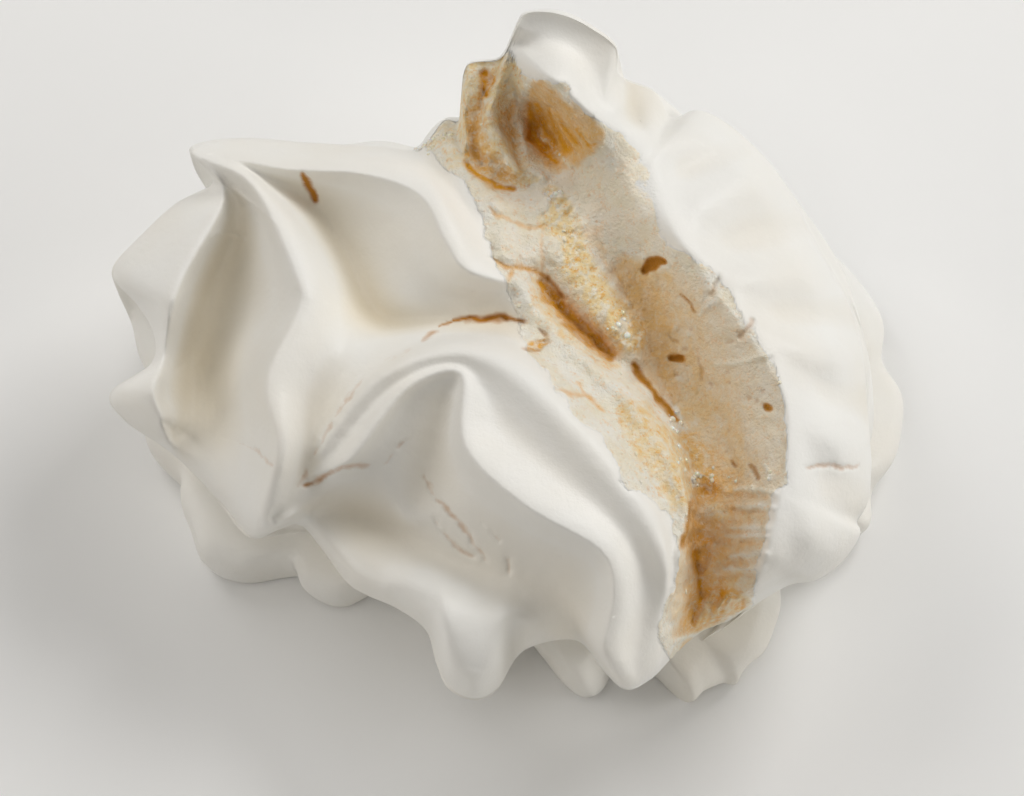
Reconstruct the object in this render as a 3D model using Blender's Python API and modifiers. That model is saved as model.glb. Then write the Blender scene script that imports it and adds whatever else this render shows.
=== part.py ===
"""Meringue cookie: one baked piece, piped swirls split open by a wide crack.

The top is laid out on a plane tilted towards the front (across, along and out of it),
because its folds are drawn as seen from above and a little in front. Heights of the
ridges and valleys are added to a smooth dome inside the wavy rim. Rows below the rim
carry the body down over a groove to a lobed lower layer and a flat base.
"""
import math

import bpy
import numpy as np

for obj in list(bpy.data.objects):
    bpy.data.objects.remove(obj, do_unlink=True)
for mesh in list(bpy.data.meshes):
    bpy.data.meshes.remove(mesh)

# driving sizes, millimetres unless noted
MM = 0.001
TILT = 66.0               # degrees from the table up to the layout plane's normal
PLANE_SHIFT = 15.5        # the layout's origin stands this far along from the base centre
CENTRE = (-3.0, -3.0)     # pole of the layout, across and along
DOME_TOP = 41.5           # height of the smooth dome before the folds
DOME_SPREAD = 2.5         # how flat the dome stays round its top
DOME_POWER = 0.48         # how round it turns down at the rim
RIM_BLEND = (0.7, 0.99)   # share of the way to the rim over which its waves fade in
RIM_SOFTNESS = 14.0       # degrees over which the waves are smoothed further in
RIM_FLATTENING = 0.55     # how much of a fold's lift is lost at the rim
FLAT_FROM = 0.9           # share of the way to the rim where that starts
RUFFLES = 23              # small ruffles round the outer band
RUFFLE_DEPTH = 1.3
RUFFLE_END = (24.0, 30.0)  # along, where the ruffles die out towards the fin
RIDGE_SOFTNESS = 0.03
VALLEY_SOFTNESS = 1.2
FIN_SOFTNESS = 0.9
CAP_ANGLE = 108.0         # degrees of the ball, from its pole, that become the top
PLAN_CENTRE = -1.0        # x and y of the point the plans are scaled and read about
LIP_BACK, LIP_FRONT = 4.0, 2.2  # thickness of the rim where it stands high and low
LIP_CHANGE = 26.0         # rim height that parts the two
LIP_GAP = 3.0             # the side begins this far under the rim
SIDE_TOP = 21.0           # and no higher than this
GROOVE_HEIGHT = 11.0      # groove between the two layers
GROOVE_INSET = 0.915
LOWER_HEIGHT = 5.6        # widest row of the lower layer
LOBES = 15                # lobes of the lower layer
LOBE_DEPTH = 3.0
LOBE_SWELL = 0.8
SIDE_FOLDS = 13           # slanting folds down the sides away from the crack
SIDE_FOLD_DEPTH = 2.6
GRID_STEP = 0.4
GRID_HALF = 60.0
SUBDIVISIONS = 7
TRIANGLES = 9400

# wavy rim of the upper piece: across, along, height over the table
RIM = [(-43.2, 27.3, 40), (-40.2, 23.2, 36), (-45.5, 20.3, 34), (-51.2, 14.8, 32),
       (-53.8, 10.5, 31), (-50.6, 6.6, 29), (-48.2, 2.5, 28), (-48.6, -1.5, 27), (-53.8, -5.5, 27),
       (-51.8, -9.2, 25), (-46, -13.4, 24), (-39, -20.3, 22), (-34.7, -25, 21), (-31.2, -24, 21),
       (-28.3, -23.3, 21.5), (-25.3, -26.3, 21), (-21, -31.6, 20), (-15, -34.5, 20),
       (-11, -37.4, 20), (-9.6, -41.5, 20), (-8, -44.8, 20), (-4.5, -46.3, 20), (-1.4, -44.8, 20),
       (1, -41, 20), (3.5, -39.4, 20), (7.5, -38.6, 20.5), (10, -39.2, 21), (12.6, -42.4, 21),
       (15.6, -44.9, 21), (19, -43.6, 20), (22, -41, 18), (26, -38.1, 14), (30, -36.2, 13),
       (34, -33.8, 14), (38, -31.4, 18), (41.5, -30.7, 20), (45, -28.2, 21), (47.4, -24.6, 22),
       (47, -22.8, 22), (48.8, -19.5, 22.5), (48.9, -11, 24), (48.2, 0, 25), (46.3, 7, 26),
       (43, 13, 27), (38, 23, 29), (34.5, 27.5, 31), (30, 31.5, 32), (26, 33.3, 33),
       (22.4, 32, 34), (20, 35.8, 37), (15, 38, 42), (14.6, 41.5, 46), (11.5, 44.9, 49),
       (8.3, 46.6, 50), (5.5, 47.4, 50), (2.8, 47, 50), (1, 44.6, 49), (-1.2, 40.6, 46),
       (-5.6, 39.2, 42), (-6.5, 35, 38), (-6.9, 31.9, 34), (-9, 31.9, 33), (-12.5, 28, 32),
       (-18, 28.3, 32), (-27, 28.6, 34), (-36.8, 29, 37)]
# plans of the upper body and of the lower layer, x and y, each read by bearing
UPPER_PLAN = [(-50, 5), (-46, -2), (-38.5, -10.5), (-33.5, -15), (-27, -15.5), (-21, -23),
              (-15, -26.5), (-9, -30.5), (-4, -35.5), (1.5, -33), (7, -31.2), (12, -33),
              (16, -35.8), (21, -33), (25.5, -30.5), (30, -28.2), (35, -25), (40, -22.5),
              (44.5, -19.8), (47.5, -15), (49.3, -7), (49, 3), (43.5, 24), (28.5, 39.5), (5, 43),
              (-14, 40.5), (-35, 32.5), (-48.5, 18.5)]
LOWER_PLAN = [(-50, 4), (-47, -4), (-43.5, -11), (-41.5, -16.3), (-37.5, -18.6), (-33, -18),
              (-30, -18), (-27.5, -20.5), (-23, -22), (-18, -20), (-12, -23.5), (-4, -31),
              (1.5, -28), (4.5, -29.5), (7.5, -33.3), (10.5, -35.4), (14, -34), (17, -31.2),
              (19.5, -31.6), (24.2, -36.2), (26.5, -34.6), (29.5, -33.6), (32, -34), (34, -31),
              (36, -25.5), (38.5, -19), (43, -16), (47, -12.5), (49.6, -10.5), (52.2, -4.5),
              (54.2, 5), (54.2, 14), (51, 21.5), (46.5, 28), (39, 35), (17, 42.5), (-6, 43),
              (-30, 37.5), (-47, 22)]


def ridge(points, hollow=0, edge=0.3, power=1.7):
    """A crest line (across, along, lift). hollow is the steep side, +1 left of its run."""
    return {"points": points, "hollow": hollow, "extra": (edge, power)}


RIDGES = {
    "tip_to_back": ridge([(-42.8, 27.4, 0), (-37, 26.3, 2), (-30, 24.8, 3.5), (-20, 24.4, 5.5),
                          (-12, 21.5, 6), (-8.4, 15, 5), (-5.5, 11, 3.5), (2, 8.8, 1)], -1),
    "tip_to_front": ridge([(-42.8, 27.2, 0), (-34.5, 22.4, 4), (-28.2, 10, 5.5), (-28, 5.5, 5),
                           (-32, -4, 5), (-30.6, -13, 4.5), (-34.3, -25.5, 1)], -1, 0.4),
    "tip_to_left": ridge([(-41.6, 25.8, 0), (-38.7, 20.5, 2.5), (-44.3, 9, 4), (-47.5, -4, 3.5),
                          (-46.5, -9, 2)], 1, 0.3, 2.6),
    "arch_edge": ridge([(-25, -16.2, -1), (-20.8, -14.3, 2), (-13.5, -5, 5.5), (-6.3, -3, 6.4),
                        (-5.7, -12.5, 6.4), (2, -20, 6.8), (12, -26, 7), (13.8, -32, 6.5),
                        (12.4, -40, 5), (15.5, -44.7, 3)], -1, 0.25, 2.2),
    "arch_back": ridge([(-24.8, -13, 0), (-16.5, -3.2, 5.5), (-5, -0.2, 7.2), (6, -7.5, 8),
                        (20, -26, 6.5), (18.5, -43, 1.5)], 0, 3.0),
    "front_edge": ridge([(-31, -22.4, 0), (-28.2, -22.9, 1.5), (-25.3, -26, 2), (-21, -31.2, 2),
                         (-15, -34, 1.5), (-11.4, -37, 1)], 1, 0.3),
    "front_lobe": ridge([(-16, -32.6, 0.5), (-8.5, -36.5, 2.5), (-4.5, -46, 1)], 0, 4.0),
    "band_edge": ridge([(1.5, 41.5, 7), (4.5, 38, 12), (8.5, 34.3, 12.5), (17, 26.5, 6.5),
                        (24, 13.5, 6.5), (35.5, -3, 6), (37.2, -13, 5.5), (33, -32, 3.5),
                        (30, -35.5, 2)], -1, 0.4, 1.1),
    "tongue": ridge([(5.5, 21.5, -2.5), (14, 6, -2.5), (16.5, 1.5, -4)], 0, 1.8),
    "near_bank": ridge([(-1, 20, 2), (2.5, 8.5, 1), (17, -6.5, 2), (22.8, -17, 2.5),
                        (22.4, -27, 3.5), (20.6, -37, 2.5), (21.3, -41, 1)], 1, 0.5, 2.6),
    "bridge": ridge([(-5, 37.5, 3), (-1, 28, -1), (3, 22.5, -3)], 0, 1.2),
    "back_corner": ridge([(-9, 29.5, 0.5), (-3, 20, 2)], 0, 1.5),
    "fin_top": ridge([(2, 44.5, 9), (6, 45.6, 9.5), (11.5, 42.5, 9), (13.6, 39, 8.5),
                      (13.4, 34, 8)], 0, 2.5, 1.2),
}
VALLEYS = {
    "back_bowl": [(-36.5, 24.6, -0.5), (-28, 20.9, -4.5), (-22, 13.5, -8.5), (-17.5, 5, -10),
                  (-9, 4.2, -7), (1.5, 4.4, -4)],
    "left_bowl": [(-40.2, 24.3, -0.5), (-36.8, 18, -4.5), (-39.5, 9, -8.5), (-41.5, -2, -10.5),
                  (-41, -8.5, -9), (-40, -15, -4.5), (-39.5, -19.5, -2.5)],
    "seam": [(-29.3, -20.5, -2), (-21.8, -6.5, -6), (-12, 1, -6), (1.5, 4.2, -4), (4.5, 1.8, -2.5)],
    "arch_floor": [(-8.8, -5.2, 2), (-11.8, -18, -5.5), (-13, -22, -6.5)],
    "dish": [(-27.5, -20.6, -3), (-19, -22.3, -9), (-8.5, -27, -7), (5, -32.5, -3.5),
             (7.5, -38, -2)],
    "front_notch": [(1.2, -36.5, -1.5), (1.8, -41, -1)],
    "crack_floor": [(2.6, 33, -10), (5.8, 28.3, -14), (9.5, 22.5, -2.5), (13.5, 12.5, -5),
                    (18.5, 1.3, -9), (24.7, -13, -9), (25.5, -28, -11.5), (22.9, -41, -5)],
    "dark_gap": [(1.8, 11.2, -2), (4.2, 9.8, -6.5), (10.3, 2.7, -9.5), (17.5, -3.4, -10)],
    "under_bridge": [(-8, 27.5, -2), (0, 22.3, -5)],
    "bridge_hole": [(-3.2, 37.3, -3), (-2.5, 33.5, -3)],
    "fin_fold": [(16.2, 38, 0), (16.6, 34, 0.5), (17.5, 31, 2.5)],
}
# the upright fin at the back, kept a plain sheet between its edges
FIN_SHEET = [(1, 44.6), (3, 47), (7, 47.2), (12, 44.2), (14.2, 41), (14.2, 36), (14.6, 32.2),
             (10.5, 33.2), (8.5, 34.6), (4.5, 38.3), (1.5, 41.8)]

SIN, COS = math.sin(math.radians(TILT)), math.cos(math.radians(TILT))
ACROSS = np.array([1.0, 0.0, 0.0])
ALONG = np.array([0.0, SIN, COS])
OUT = np.array([0.0, -COS, SIN])
LINE = np.arange(-GRID_HALF, GRID_HALF + GRID_STEP / 2, GRID_STEP)
GRID_U, GRID_V = np.meshgrid(LINE, LINE)


def spline(points, per=6, closed=False):
    """Points along a smooth curve through the given ones."""
    p = np.array(points, float)
    if closed:
        e = np.vstack([p[-1:], p, p[:2]])
    else:
        e = np.vstack([2 * p[0] - p[1], p, 2 * p[-1] - p[-2]])
    a, b, c, d = e[:-3, None], e[1:-2, None], e[2:-1, None], e[3:, None]
    t = (np.arange(per) / per)[None, :, None]
    q = 0.5 * (2 * b + (c - a) * t + (2 * a - 5 * b + 4 * c - d) * t ** 2
               + (3 * b - a - 3 * c + d) * t ** 3)
    q = q.reshape(-1, p.shape[1])
    return q if closed else np.vstack([q, p[-1:]])


def ease(x, low, high):
    """0 below low, 1 above high, smooth between."""
    t = np.clip((x - low) / (high - low), 0, 1)
    return t * t * (3 - 2 * t)


def sample(image, u, v):
    """Value of a grid map at layout points."""
    x = np.clip((u + GRID_HALF) / GRID_STEP, 0, len(LINE) - 1.001)
    y = np.clip((v + GRID_HALF) / GRID_STEP, 0, len(LINE) - 1.001)
    i, j = y.astype(int), x.astype(int)
    fy, fx = y - i, x - j
    return (image[i, j] * (1 - fy) * (1 - fx) + image[i + 1, j] * fy * (1 - fx)
            + image[i, j + 1] * (1 - fy) * fx + image[i + 1, j + 1] * fy * fx)


def trace(lines, extras, soft, reach=26.0):
    """Smooth distance to a set of lines, and their values averaged by nearness."""
    total = np.full(GRID_U.shape, 1e-7)
    means = [np.zeros(GRID_U.shape) for _ in range(2 + extras)]
    for line in lines:
        path = spline(line["points"])
        for a, b in zip(path[:-1], path[1:]):
            low = np.minimum(a[:2], b[:2]) - reach
            high = np.maximum(a[:2], b[:2]) + reach
            j0, i0 = [max(0, int((x + GRID_HALF) / GRID_STEP)) for x in low]
            j1, i1 = [max(1, int((x + GRID_HALF) / GRID_STEP) + 2) for x in high]
            w = (slice(i0, i1), slice(j0, j1))
            run = b[:2] - a[:2]
            length = math.hypot(*run)
            run = run / length
            du, dv = GRID_U[w] - a[0], GRID_V[w] - a[1]
            t, n = du * run[0] + dv * run[1], run[0] * dv - run[1] * du
            d, rest = np.sqrt(n * n + soft * soft), length - t
            k = (t / (d * d + t * t) + rest / (d * d + rest * rest)) / (2 * d * d)
            k = np.maximum(k + (np.arctan(t / d) + np.arctan(rest / d)) / (2 * d ** 3), 0)
            lift = a[2] + (b[2] - a[2]) * np.clip(t / length, 0, 1)
            total[w] += k
            means[0][w] += k * lift
            means[1][w] += k * np.clip(n / 0.15, -1, 1) * line.get("hollow", 0)
            for e in range(extras):
                means[2 + e][w] += k * line["extra"][e]
    distance = np.minimum((math.pi / 2 / total) ** (1 / 3), reach)
    return distance, [m / total for m in means]


def inside_of(outline):
    """1 inside a closed outline on the grid, 0 outside."""
    inside = np.zeros(GRID_U.shape, bool)
    for (x0, y0), (x1, y1) in zip(outline, np.roll(outline, -1, axis=0)):
        if y0 == y1:
            continue
        left = GRID_U < x0 + (GRID_V - y0) * (x1 - x0) / (y1 - y0)
        inside ^= ((GRID_V >= y0) != (GRID_V >= y1)) & left
    return inside.astype(float)


def soften(image, size):
    """A grid map blurred by a bell of the given width."""
    reach = int(round(3 * size / GRID_STEP))
    bell = np.exp(-0.5 * (np.arange(-reach, reach + 1) * GRID_STEP / size) ** 2)
    bell /= bell.sum()
    for axis in (0, 1):
        image = np.apply_along_axis(
            lambda row: np.convolve(np.pad(row, reach, mode="edge"), bell, "valid"), axis, image)
    return image


def ruffle_map():
    """Small ruffles across the outer band, which starts at the crack's far edge."""
    bearing = np.arctan2(GRID_V - CENTRE[1], GRID_U - CENTRE[0])
    away = np.hypot(GRID_U - CENTRE[0], GRID_V - CENTRE[1])
    edge = spline(RIDGES["band_edge"]["points"]) - np.array([*CENTRE, 0.0])
    edge_bearing = np.arctan2(edge[:, 1], edge[:, 0])
    order = np.argsort(edge_bearing)
    edge_away = np.hypot(edge[:, 0], edge[:, 1])
    beyond = 2 * GRID_HALF
    inner = np.interp(bearing, edge_bearing[order], edge_away[order], left=beyond, right=beyond)
    wave = np.cos(RUFFLES * bearing + 0.1 * away + 0.8 * np.sin(5 * bearing))
    return ease(away - inner, 1, 6) * RUFFLE_DEPTH * wave * (1 - ease(GRID_V, *RUFFLE_END))


def relief_map():
    """Lift of the folds over the dome: crest, then shoulder or hollow, then valley."""
    near, (crest, side, edge, power) = trace(RIDGES.values(), 2, RIDGE_SOFTNESS)
    far, (valley, _) = trace([{"points": points} for points in VALLEYS.values()], 0, VALLEY_SOFTNESS)
    near = np.sqrt(near ** 2 + edge ** 2) - edge
    sheet = np.clip(soften(inside_of(FIN_SHEET), FIN_SOFTNESS), 0, 1)
    x = near / (near + far) * (1 - sheet)
    steep = 0.5 + 0.5 * np.clip(side, -1, 1)
    shoulder = 0.5 * (1 + np.cos(math.pi * x ** 1.2))
    lift = valley + (crest - valley) * ((1 - steep) * shoulder + steep * (1 - x) ** power)
    return lift + ruffle_map()


def rim_rows():
    """The rim and a softened rim by bearing: radius and height of each."""
    curve = spline(RIM, 10, True)
    bearing = np.arctan2(curve[:, 1] - CENTRE[1], curve[:, 0] - CENTRE[0])
    order = np.argsort(bearing)
    radius = np.hypot(curve[:, 0] - CENTRE[0], curve[:, 1] - CENTRE[1])
    steps = np.radians(np.arange(-180, 180, 0.5))
    reach = 120
    bell = np.exp(-0.5 * (np.arange(-reach, reach + 1) / (2 * RIM_SOFTNESS)) ** 2)
    bell /= bell.sum()
    rows = [np.interp(steps, bearing[order], a[order], period=2 * math.pi)
            for a in (radius, curve[:, 2])]
    soft = [np.convolve(np.concatenate([a[-reach:], a, a[:reach]]), bell, "valid") for a in rows]
    return lambda angle, k: np.interp(angle, steps, (rows + soft)[k], period=2 * math.pi)


rim_at = rim_rows()


def out_of_plane(height, v):
    """Distance out of the layout plane of a point at that height over the table."""
    return (height - (v + PLANE_SHIFT) * COS) / SIN


def dome(u, v):
    """Distance out of the layout plane of the smooth dome inside the rim."""
    away = np.hypot(u - CENTRE[0], v - CENTRE[1])
    bearing = np.arctan2(v - CENTRE[1], u - CENTRE[0])
    radius, height, soft_radius, soft_height = [rim_at(bearing, k) for k in range(4)]
    share = np.clip(away / radius, 0, 1)
    blend = ease(share, *RIM_BLEND)
    low = out_of_plane(height, CENTRE[1] + radius * np.sin(bearing))
    soft_low = out_of_plane(soft_height, CENTRE[1] + soft_radius * np.sin(bearing))
    low = soft_low + (low - soft_low) * blend
    share = np.clip(away / soft_radius, 0, 1) * (1 - blend) + share * blend
    rise = np.clip(1 - share ** DOME_SPREAD, 0, 1) ** DOME_POWER
    return low + (out_of_plane(DOME_TOP, v) - low) * rise


def plan_at(plan, bearing):
    """Point of a closed plan outline for each bearing."""
    points = spline(plan, 6, True)
    angles = np.arctan2(points[:, 1] - PLAN_CENTRE, points[:, 0] - PLAN_CENTRE) % (2 * math.pi)
    order = np.argsort(angles)
    return [np.interp(bearing, angles[order], points[order, k], period=2 * math.pi) for k in (0, 1)]


def side_rows(rim, bearing):
    """Rows from the rim down the side to the middle of the base, and where each one sits.

    The place of a row is its share of the way from the rim to the middle of the base.
    """
    upper, lower = plan_at(UPPER_PLAN, bearing), plan_at(LOWER_PLAN, bearing)
    overhang = (np.hypot(rim[:, 0] - PLAN_CENTRE, rim[:, 1] - PLAN_CENTRE)
                - np.hypot(upper[0] - PLAN_CENTRE, upper[1] - PLAN_CENTRE))
    lip = np.where(rim[:, 2] > LIP_CHANGE, LIP_BACK, LIP_FRONT) * (1 - 0.75 * ease(overhang, 0.5, 5))
    side_top = np.minimum(rim[:, 2] - LIP_GAP, SIDE_TOP)

    def row(plan, scale, height):
        flat = [PLAN_CENTRE + (p - PLAN_CENTRE) * scale for p in plan]
        return np.stack([*flat, np.broadcast_to(height, bearing.shape)], 1)

    rows = [
        (0.0, rim),
        (0.05, rim - OUT * lip[:, None]),
        (0.17, row(upper, 1, side_top)),
        (0.27, row(upper, 0.985, np.minimum(side_top - 1.2, 14.5))),
        (0.34, row(upper, GROOVE_INSET, GROOVE_HEIGHT)),
        (0.40, row(lower, 0.955, 9.3)),
        (0.50, row(lower, 1, LOWER_HEIGHT)),
        (0.60, row(lower, 0.985, 2.0)),
        (0.66, row(lower, 0.955, 0.25)),
        (0.70, row(lower, 0.92, 0)),
        (0.86, row(lower, 0.5, 0)),
        (1.0, row(lower, 0, 0)),
    ]
    return np.array([place for place, _ in rows]), np.stack([r for _, r in rows], 1), lip


def along_rows(places, rows, lip, t):
    """Points at shares t on a smooth curve through the rows, rolling over the lip first."""
    k = np.clip(np.searchsorted(places, t, side="right") - 1, 0, len(places) - 2)
    each, last = np.arange(len(t)), len(places) - 1
    p0, p1, p2, p3 = [rows[each, np.clip(k + i, 0, last)] for i in (-1, 0, 1, 2)]
    k0, k1, k2, k3 = [places[np.clip(k + i, 0, last)][:, None] for i in (-1, 0, 1, 2)]
    m1 = (p2 - p0) / np.maximum(k2 - k0, 1e-6) * (k2 - k1)
    m2 = (p3 - p1) / np.maximum(k3 - k1, 1e-6) * (k2 - k1)
    m1 = np.where((k == 0)[:, None], -OUT * 1.5 * lip[:, None], m1)
    f = (t[:, None] - k1) / (k2 - k1)
    return ((2 * f ** 3 - 3 * f ** 2 + 1) * p1 + (f ** 3 - 2 * f ** 2 + f) * m1
            + (3 * f ** 2 - 2 * f ** 3) * p2 + (f ** 3 - f ** 2) * m2)


def side_push(bearing, height, t):
    """How far the lobes of the lower layer and the folds of the side stand out."""
    lobe = LOBES / 2 * bearing + 1.1 * np.sin(2 * bearing + 1) + 0.1 * (height - LOWER_HEIGHT)
    lobes = LOBE_SWELL - LOBE_DEPTH * np.abs(np.cos(lobe)) ** 5 * (0.75 + 0.25 * np.sin(3 * bearing))
    lobes *= ease(t, 0.33, 0.42) * (1 - ease(t, 0.6, 0.7))
    fold = SIDE_FOLDS / 2 * bearing - 0.09 * height + 0.9 * np.sin(3 * bearing + 2)
    depth = SIDE_FOLD_DEPTH * (0.35 + 0.65 * ease(np.sin(bearing), -0.5, 0.3))
    folds = depth * (0.4 - np.abs(np.sin(fold)) ** 6)
    folds *= ease(t, 0, 0.12) * (1 - ease(t, 0.24, 0.34))
    return lobes + folds


def shape(ball, relief):
    """Carry points of a unit ball to the meringue."""
    polar = np.arccos(np.clip(ball[:, 2], -1, 1))
    bearing = np.arctan2(ball[:, 1], ball[:, 0])
    cap = math.radians(CAP_ANGLE)
    radius = rim_at(bearing, 0)

    def top_point(share):
        u = CENTRE[0] + radius * share * np.cos(bearing)
        v = CENTRE[1] + radius * share * np.sin(bearing)
        lift = sample(relief, u, v) * (1 - RIM_FLATTENING * ease(share, FLAT_FROM, 1))
        out = dome(u, v) + lift
        return u[:, None] * ACROSS + (v + PLANE_SHIFT)[:, None] * ALONG + out[:, None] * OUT

    top = top_point(np.sin(np.minimum(polar / cap, 1) * math.pi / 2))
    places, rows, lip = side_rows(top_point(np.ones_like(bearing)), bearing)
    t = np.clip((polar - cap) / (math.pi - cap), 0, 1)
    points = np.where((polar > cap)[:, None], along_rows(places, rows, lip, t), top)
    push = side_push(bearing, points[:, 2], t)
    points[:, 0] += np.cos(bearing) * push
    points[:, 1] += np.sin(bearing) * push
    points[:, 2] = np.maximum(points[:, 2], 0)
    return points


bpy.ops.mesh.primitive_cube_add(size=2)
meringue = bpy.context.object
meringue.name = "meringue"
meringue.data.name = "meringue"
finer = meringue.modifiers.new("finer", "SUBSURF")
finer.subdivision_type = "SIMPLE"
finer.levels = finer.render_levels = SUBDIVISIONS
depsgraph = bpy.context.evaluated_depsgraph_get()
blank = meringue.data
meringue.data = bpy.data.meshes.new_from_object(meringue.evaluated_get(depsgraph))
meringue.modifiers.remove(finer)
bpy.data.meshes.remove(blank)
meringue.data.name = "meringue"

cube = np.empty(len(meringue.data.vertices) * 3)
meringue.data.vertices.foreach_get("co", cube)
cube = np.tan(cube.reshape(-1, 3) * math.pi / 4)
ball = cube / np.linalg.norm(cube, axis=1)[:, None]
placed = shape(ball, relief_map())
middle = (placed.min(axis=0) + placed.max(axis=0)) / 2
placed -= np.array([middle[0], middle[1], 0.0])
meringue.data.vertices.foreach_set("co", (placed * MM).ravel())
meringue.data.update()

lighter = meringue.modifiers.new("lighter", "DECIMATE")
lighter.ratio = TRIANGLES / (2 * len(meringue.data.polygons))
lighter.use_collapse_triangulate = True

white = bpy.data.materials.new("baked meringue")
white.use_nodes = True
shader = white.node_tree.nodes["Principled BSDF"]
shader.inputs["Base Color"].default_value = (0.83, 0.78, 0.68, 1)
shader.inputs["Roughness"].default_value = 0.55
meringue.data.materials.append(white)

cookie = bpy.data.collections.new("meringue cookie")
bpy.context.scene.collection.children.link(cookie)
for holder in list(meringue.users_collection):
    holder.objects.unlink(meringue)
cookie.objects.link(meringue)
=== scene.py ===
import math

import bpy
import numpy as np
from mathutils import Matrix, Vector


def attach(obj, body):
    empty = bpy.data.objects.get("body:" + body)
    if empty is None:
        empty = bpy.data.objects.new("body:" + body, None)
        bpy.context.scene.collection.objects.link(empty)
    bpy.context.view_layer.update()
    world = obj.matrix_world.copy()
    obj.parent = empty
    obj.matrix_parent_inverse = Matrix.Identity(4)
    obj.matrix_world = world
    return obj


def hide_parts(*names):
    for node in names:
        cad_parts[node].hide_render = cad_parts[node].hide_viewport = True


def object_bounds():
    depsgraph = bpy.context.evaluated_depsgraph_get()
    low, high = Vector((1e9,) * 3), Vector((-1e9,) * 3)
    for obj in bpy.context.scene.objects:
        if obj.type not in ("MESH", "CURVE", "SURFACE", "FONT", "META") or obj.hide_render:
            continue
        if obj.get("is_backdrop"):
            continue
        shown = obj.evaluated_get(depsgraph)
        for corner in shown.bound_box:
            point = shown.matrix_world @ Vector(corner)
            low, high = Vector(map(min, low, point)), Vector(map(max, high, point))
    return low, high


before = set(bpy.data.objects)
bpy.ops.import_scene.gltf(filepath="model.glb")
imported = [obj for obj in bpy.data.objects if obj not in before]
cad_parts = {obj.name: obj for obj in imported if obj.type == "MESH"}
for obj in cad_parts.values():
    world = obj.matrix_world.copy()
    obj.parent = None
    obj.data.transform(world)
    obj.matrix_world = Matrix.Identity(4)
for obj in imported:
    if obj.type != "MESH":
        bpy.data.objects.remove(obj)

cadLow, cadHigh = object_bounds()

# the whole form: lengths in millimetres, angles in degrees
body = {
    "tilt": 66.0, "planeShift": 15.5,  # the slanted plane that the upper side is drawn on
    "centre": (-3.0, -3.0),  # on that plane, the point that every ray to the rim starts from
    "domeTop": 41.5, "domePower": 0.48, "domeRound": 2.5, "rimBlend": (0.7, 0.99),
    "ruffles": 23, "ruffleDepth": 1.3,  # small waves outside the crack's outer band
    "capAngle": 108.0,  # how much of the ball becomes the upper side
    "footMiddle": -1.0,  # the side's plans are measured round this point, both ways
    "grooveHeight": 11.0, "grooveInset": 0.915, "lowerHeight": 5.6,
    "lobes": 15, "lobeDepth": 3.0, "sideFolds": 13, "sideFoldDepth": 2.6,
    "gridStep": 0.25, "gridHalf": 60.0,  # the grid that the maps are painted on
    "levels": 8, "triangles": 194000,
}
sinT, cosT = math.sin(math.radians(body["tilt"])), math.cos(math.radians(body["tilt"]))
across, along, outward = np.array([1.0, 0, 0]), np.array([0, sinT, cosT]), np.array([0, -cosT, sinT])
gridLine = np.arange(-body["gridHalf"], body["gridHalf"] + body["gridStep"] / 2, body["gridStep"])
gridU, gridV = np.meshgrid(gridLine, gridLine)
centreU, centreV = body["centre"]
footMiddle = body["footMiddle"]


def spline(points, per=6, closed=False):
    # smooth curve through the points, with some steps between each two
    p = np.array(points, float)
    e = np.vstack([p[-1:], p, p[:2]]) if closed else np.vstack([2 * p[0] - p[1], p, 2 * p[-1] - p[-2]])
    a, b, c, d = e[:-3, None], e[1:-2, None], e[2:-1, None], e[3:, None]
    t = (np.arange(per) / per)[None, :, None]
    q = 0.5 * (2 * b + (c - a) * t + (2 * a - 5 * b + 4 * c - d) * t ** 2 + (3 * b - a - 3 * c + d) * t ** 3)
    q = q.reshape(-1, p.shape[1])
    return q if closed else np.vstack([q, p[-1:]])


def ease(x, low, high):
    # 0 below low, 1 above high, and a smooth step between
    t = np.clip((x - low) / (high - low), 0, 1)
    return t * t * (3 - 2 * t)


def readMap(image, u, v):
    # a map's value at any place between its grid points
    x = np.clip((u + body["gridHalf"]) / body["gridStep"], 0, len(gridLine) - 1.001)
    y = np.clip((v + body["gridHalf"]) / body["gridStep"], 0, len(gridLine) - 1.001)
    i, j = y.astype(int), x.astype(int)
    fy, fx = y - i, x - j
    return (image[i, j] * (1 - fy) * (1 - fx) + image[i + 1, j] * fy * (1 - fx)
            + image[i, j + 1] * (1 - fy) * fx + image[i + 1, j + 1] * fy * fx)


def speckle(u, v, size, seed, octaves=3):
    # smooth random field, about -1 to 1, with finer and weaker layers on top
    gain, startU, startV = 1.6, 97.3, 41.7
    total, weight = 0, 0
    for k in range(octaves):
        table = np.random.default_rng(seed + k).random((256, 256)) * 2 - 1
        x, y = u / size * 2 ** k + startU, v / size * 2 ** k + startV
        i, j = np.floor(y).astype(int), np.floor(x).astype(int)
        fy, fx = y - i, x - j
        fy, fx = fy * fy * (3 - 2 * fy), fx * fx * (3 - 2 * fx)
        a, b = table[i % 256, j % 256], table[i % 256, (j + 1) % 256]
        c, d = table[(i + 1) % 256, j % 256], table[(i + 1) % 256, (j + 1) % 256]
        total = total + ((a * (1 - fx) + b * fx) * (1 - fy) + (c * (1 - fx) + d * fx) * fy) * 0.5 ** k
        weight += 0.5 ** k
    return total / weight * gain


def gridSpeckle(size, seed, octaves):
    return speckle(gridU, gridV, size, seed, octaves)


def blob(middle, reach):
    # a rounded patch of the grid, 1 inside and fading to 0
    return np.exp(-((gridU - middle[0]) / reach[0]) ** 4 - ((gridV - middle[1]) / reach[1]) ** 4)


def soften(image, size):
    # the map blurred over about this many millimetres
    r = max(1, int(round(3 * size / body["gridStep"])))
    k = np.exp(-0.5 * (np.arange(-r, r + 1) * body["gridStep"] / size) ** 2)
    k /= k.sum()

    def blur(row):
        return np.convolve(np.pad(row, r, mode="edge"), k, "valid")

    for axis in (0, 1):
        image = np.apply_along_axis(blur, axis, image)
    return image


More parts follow.
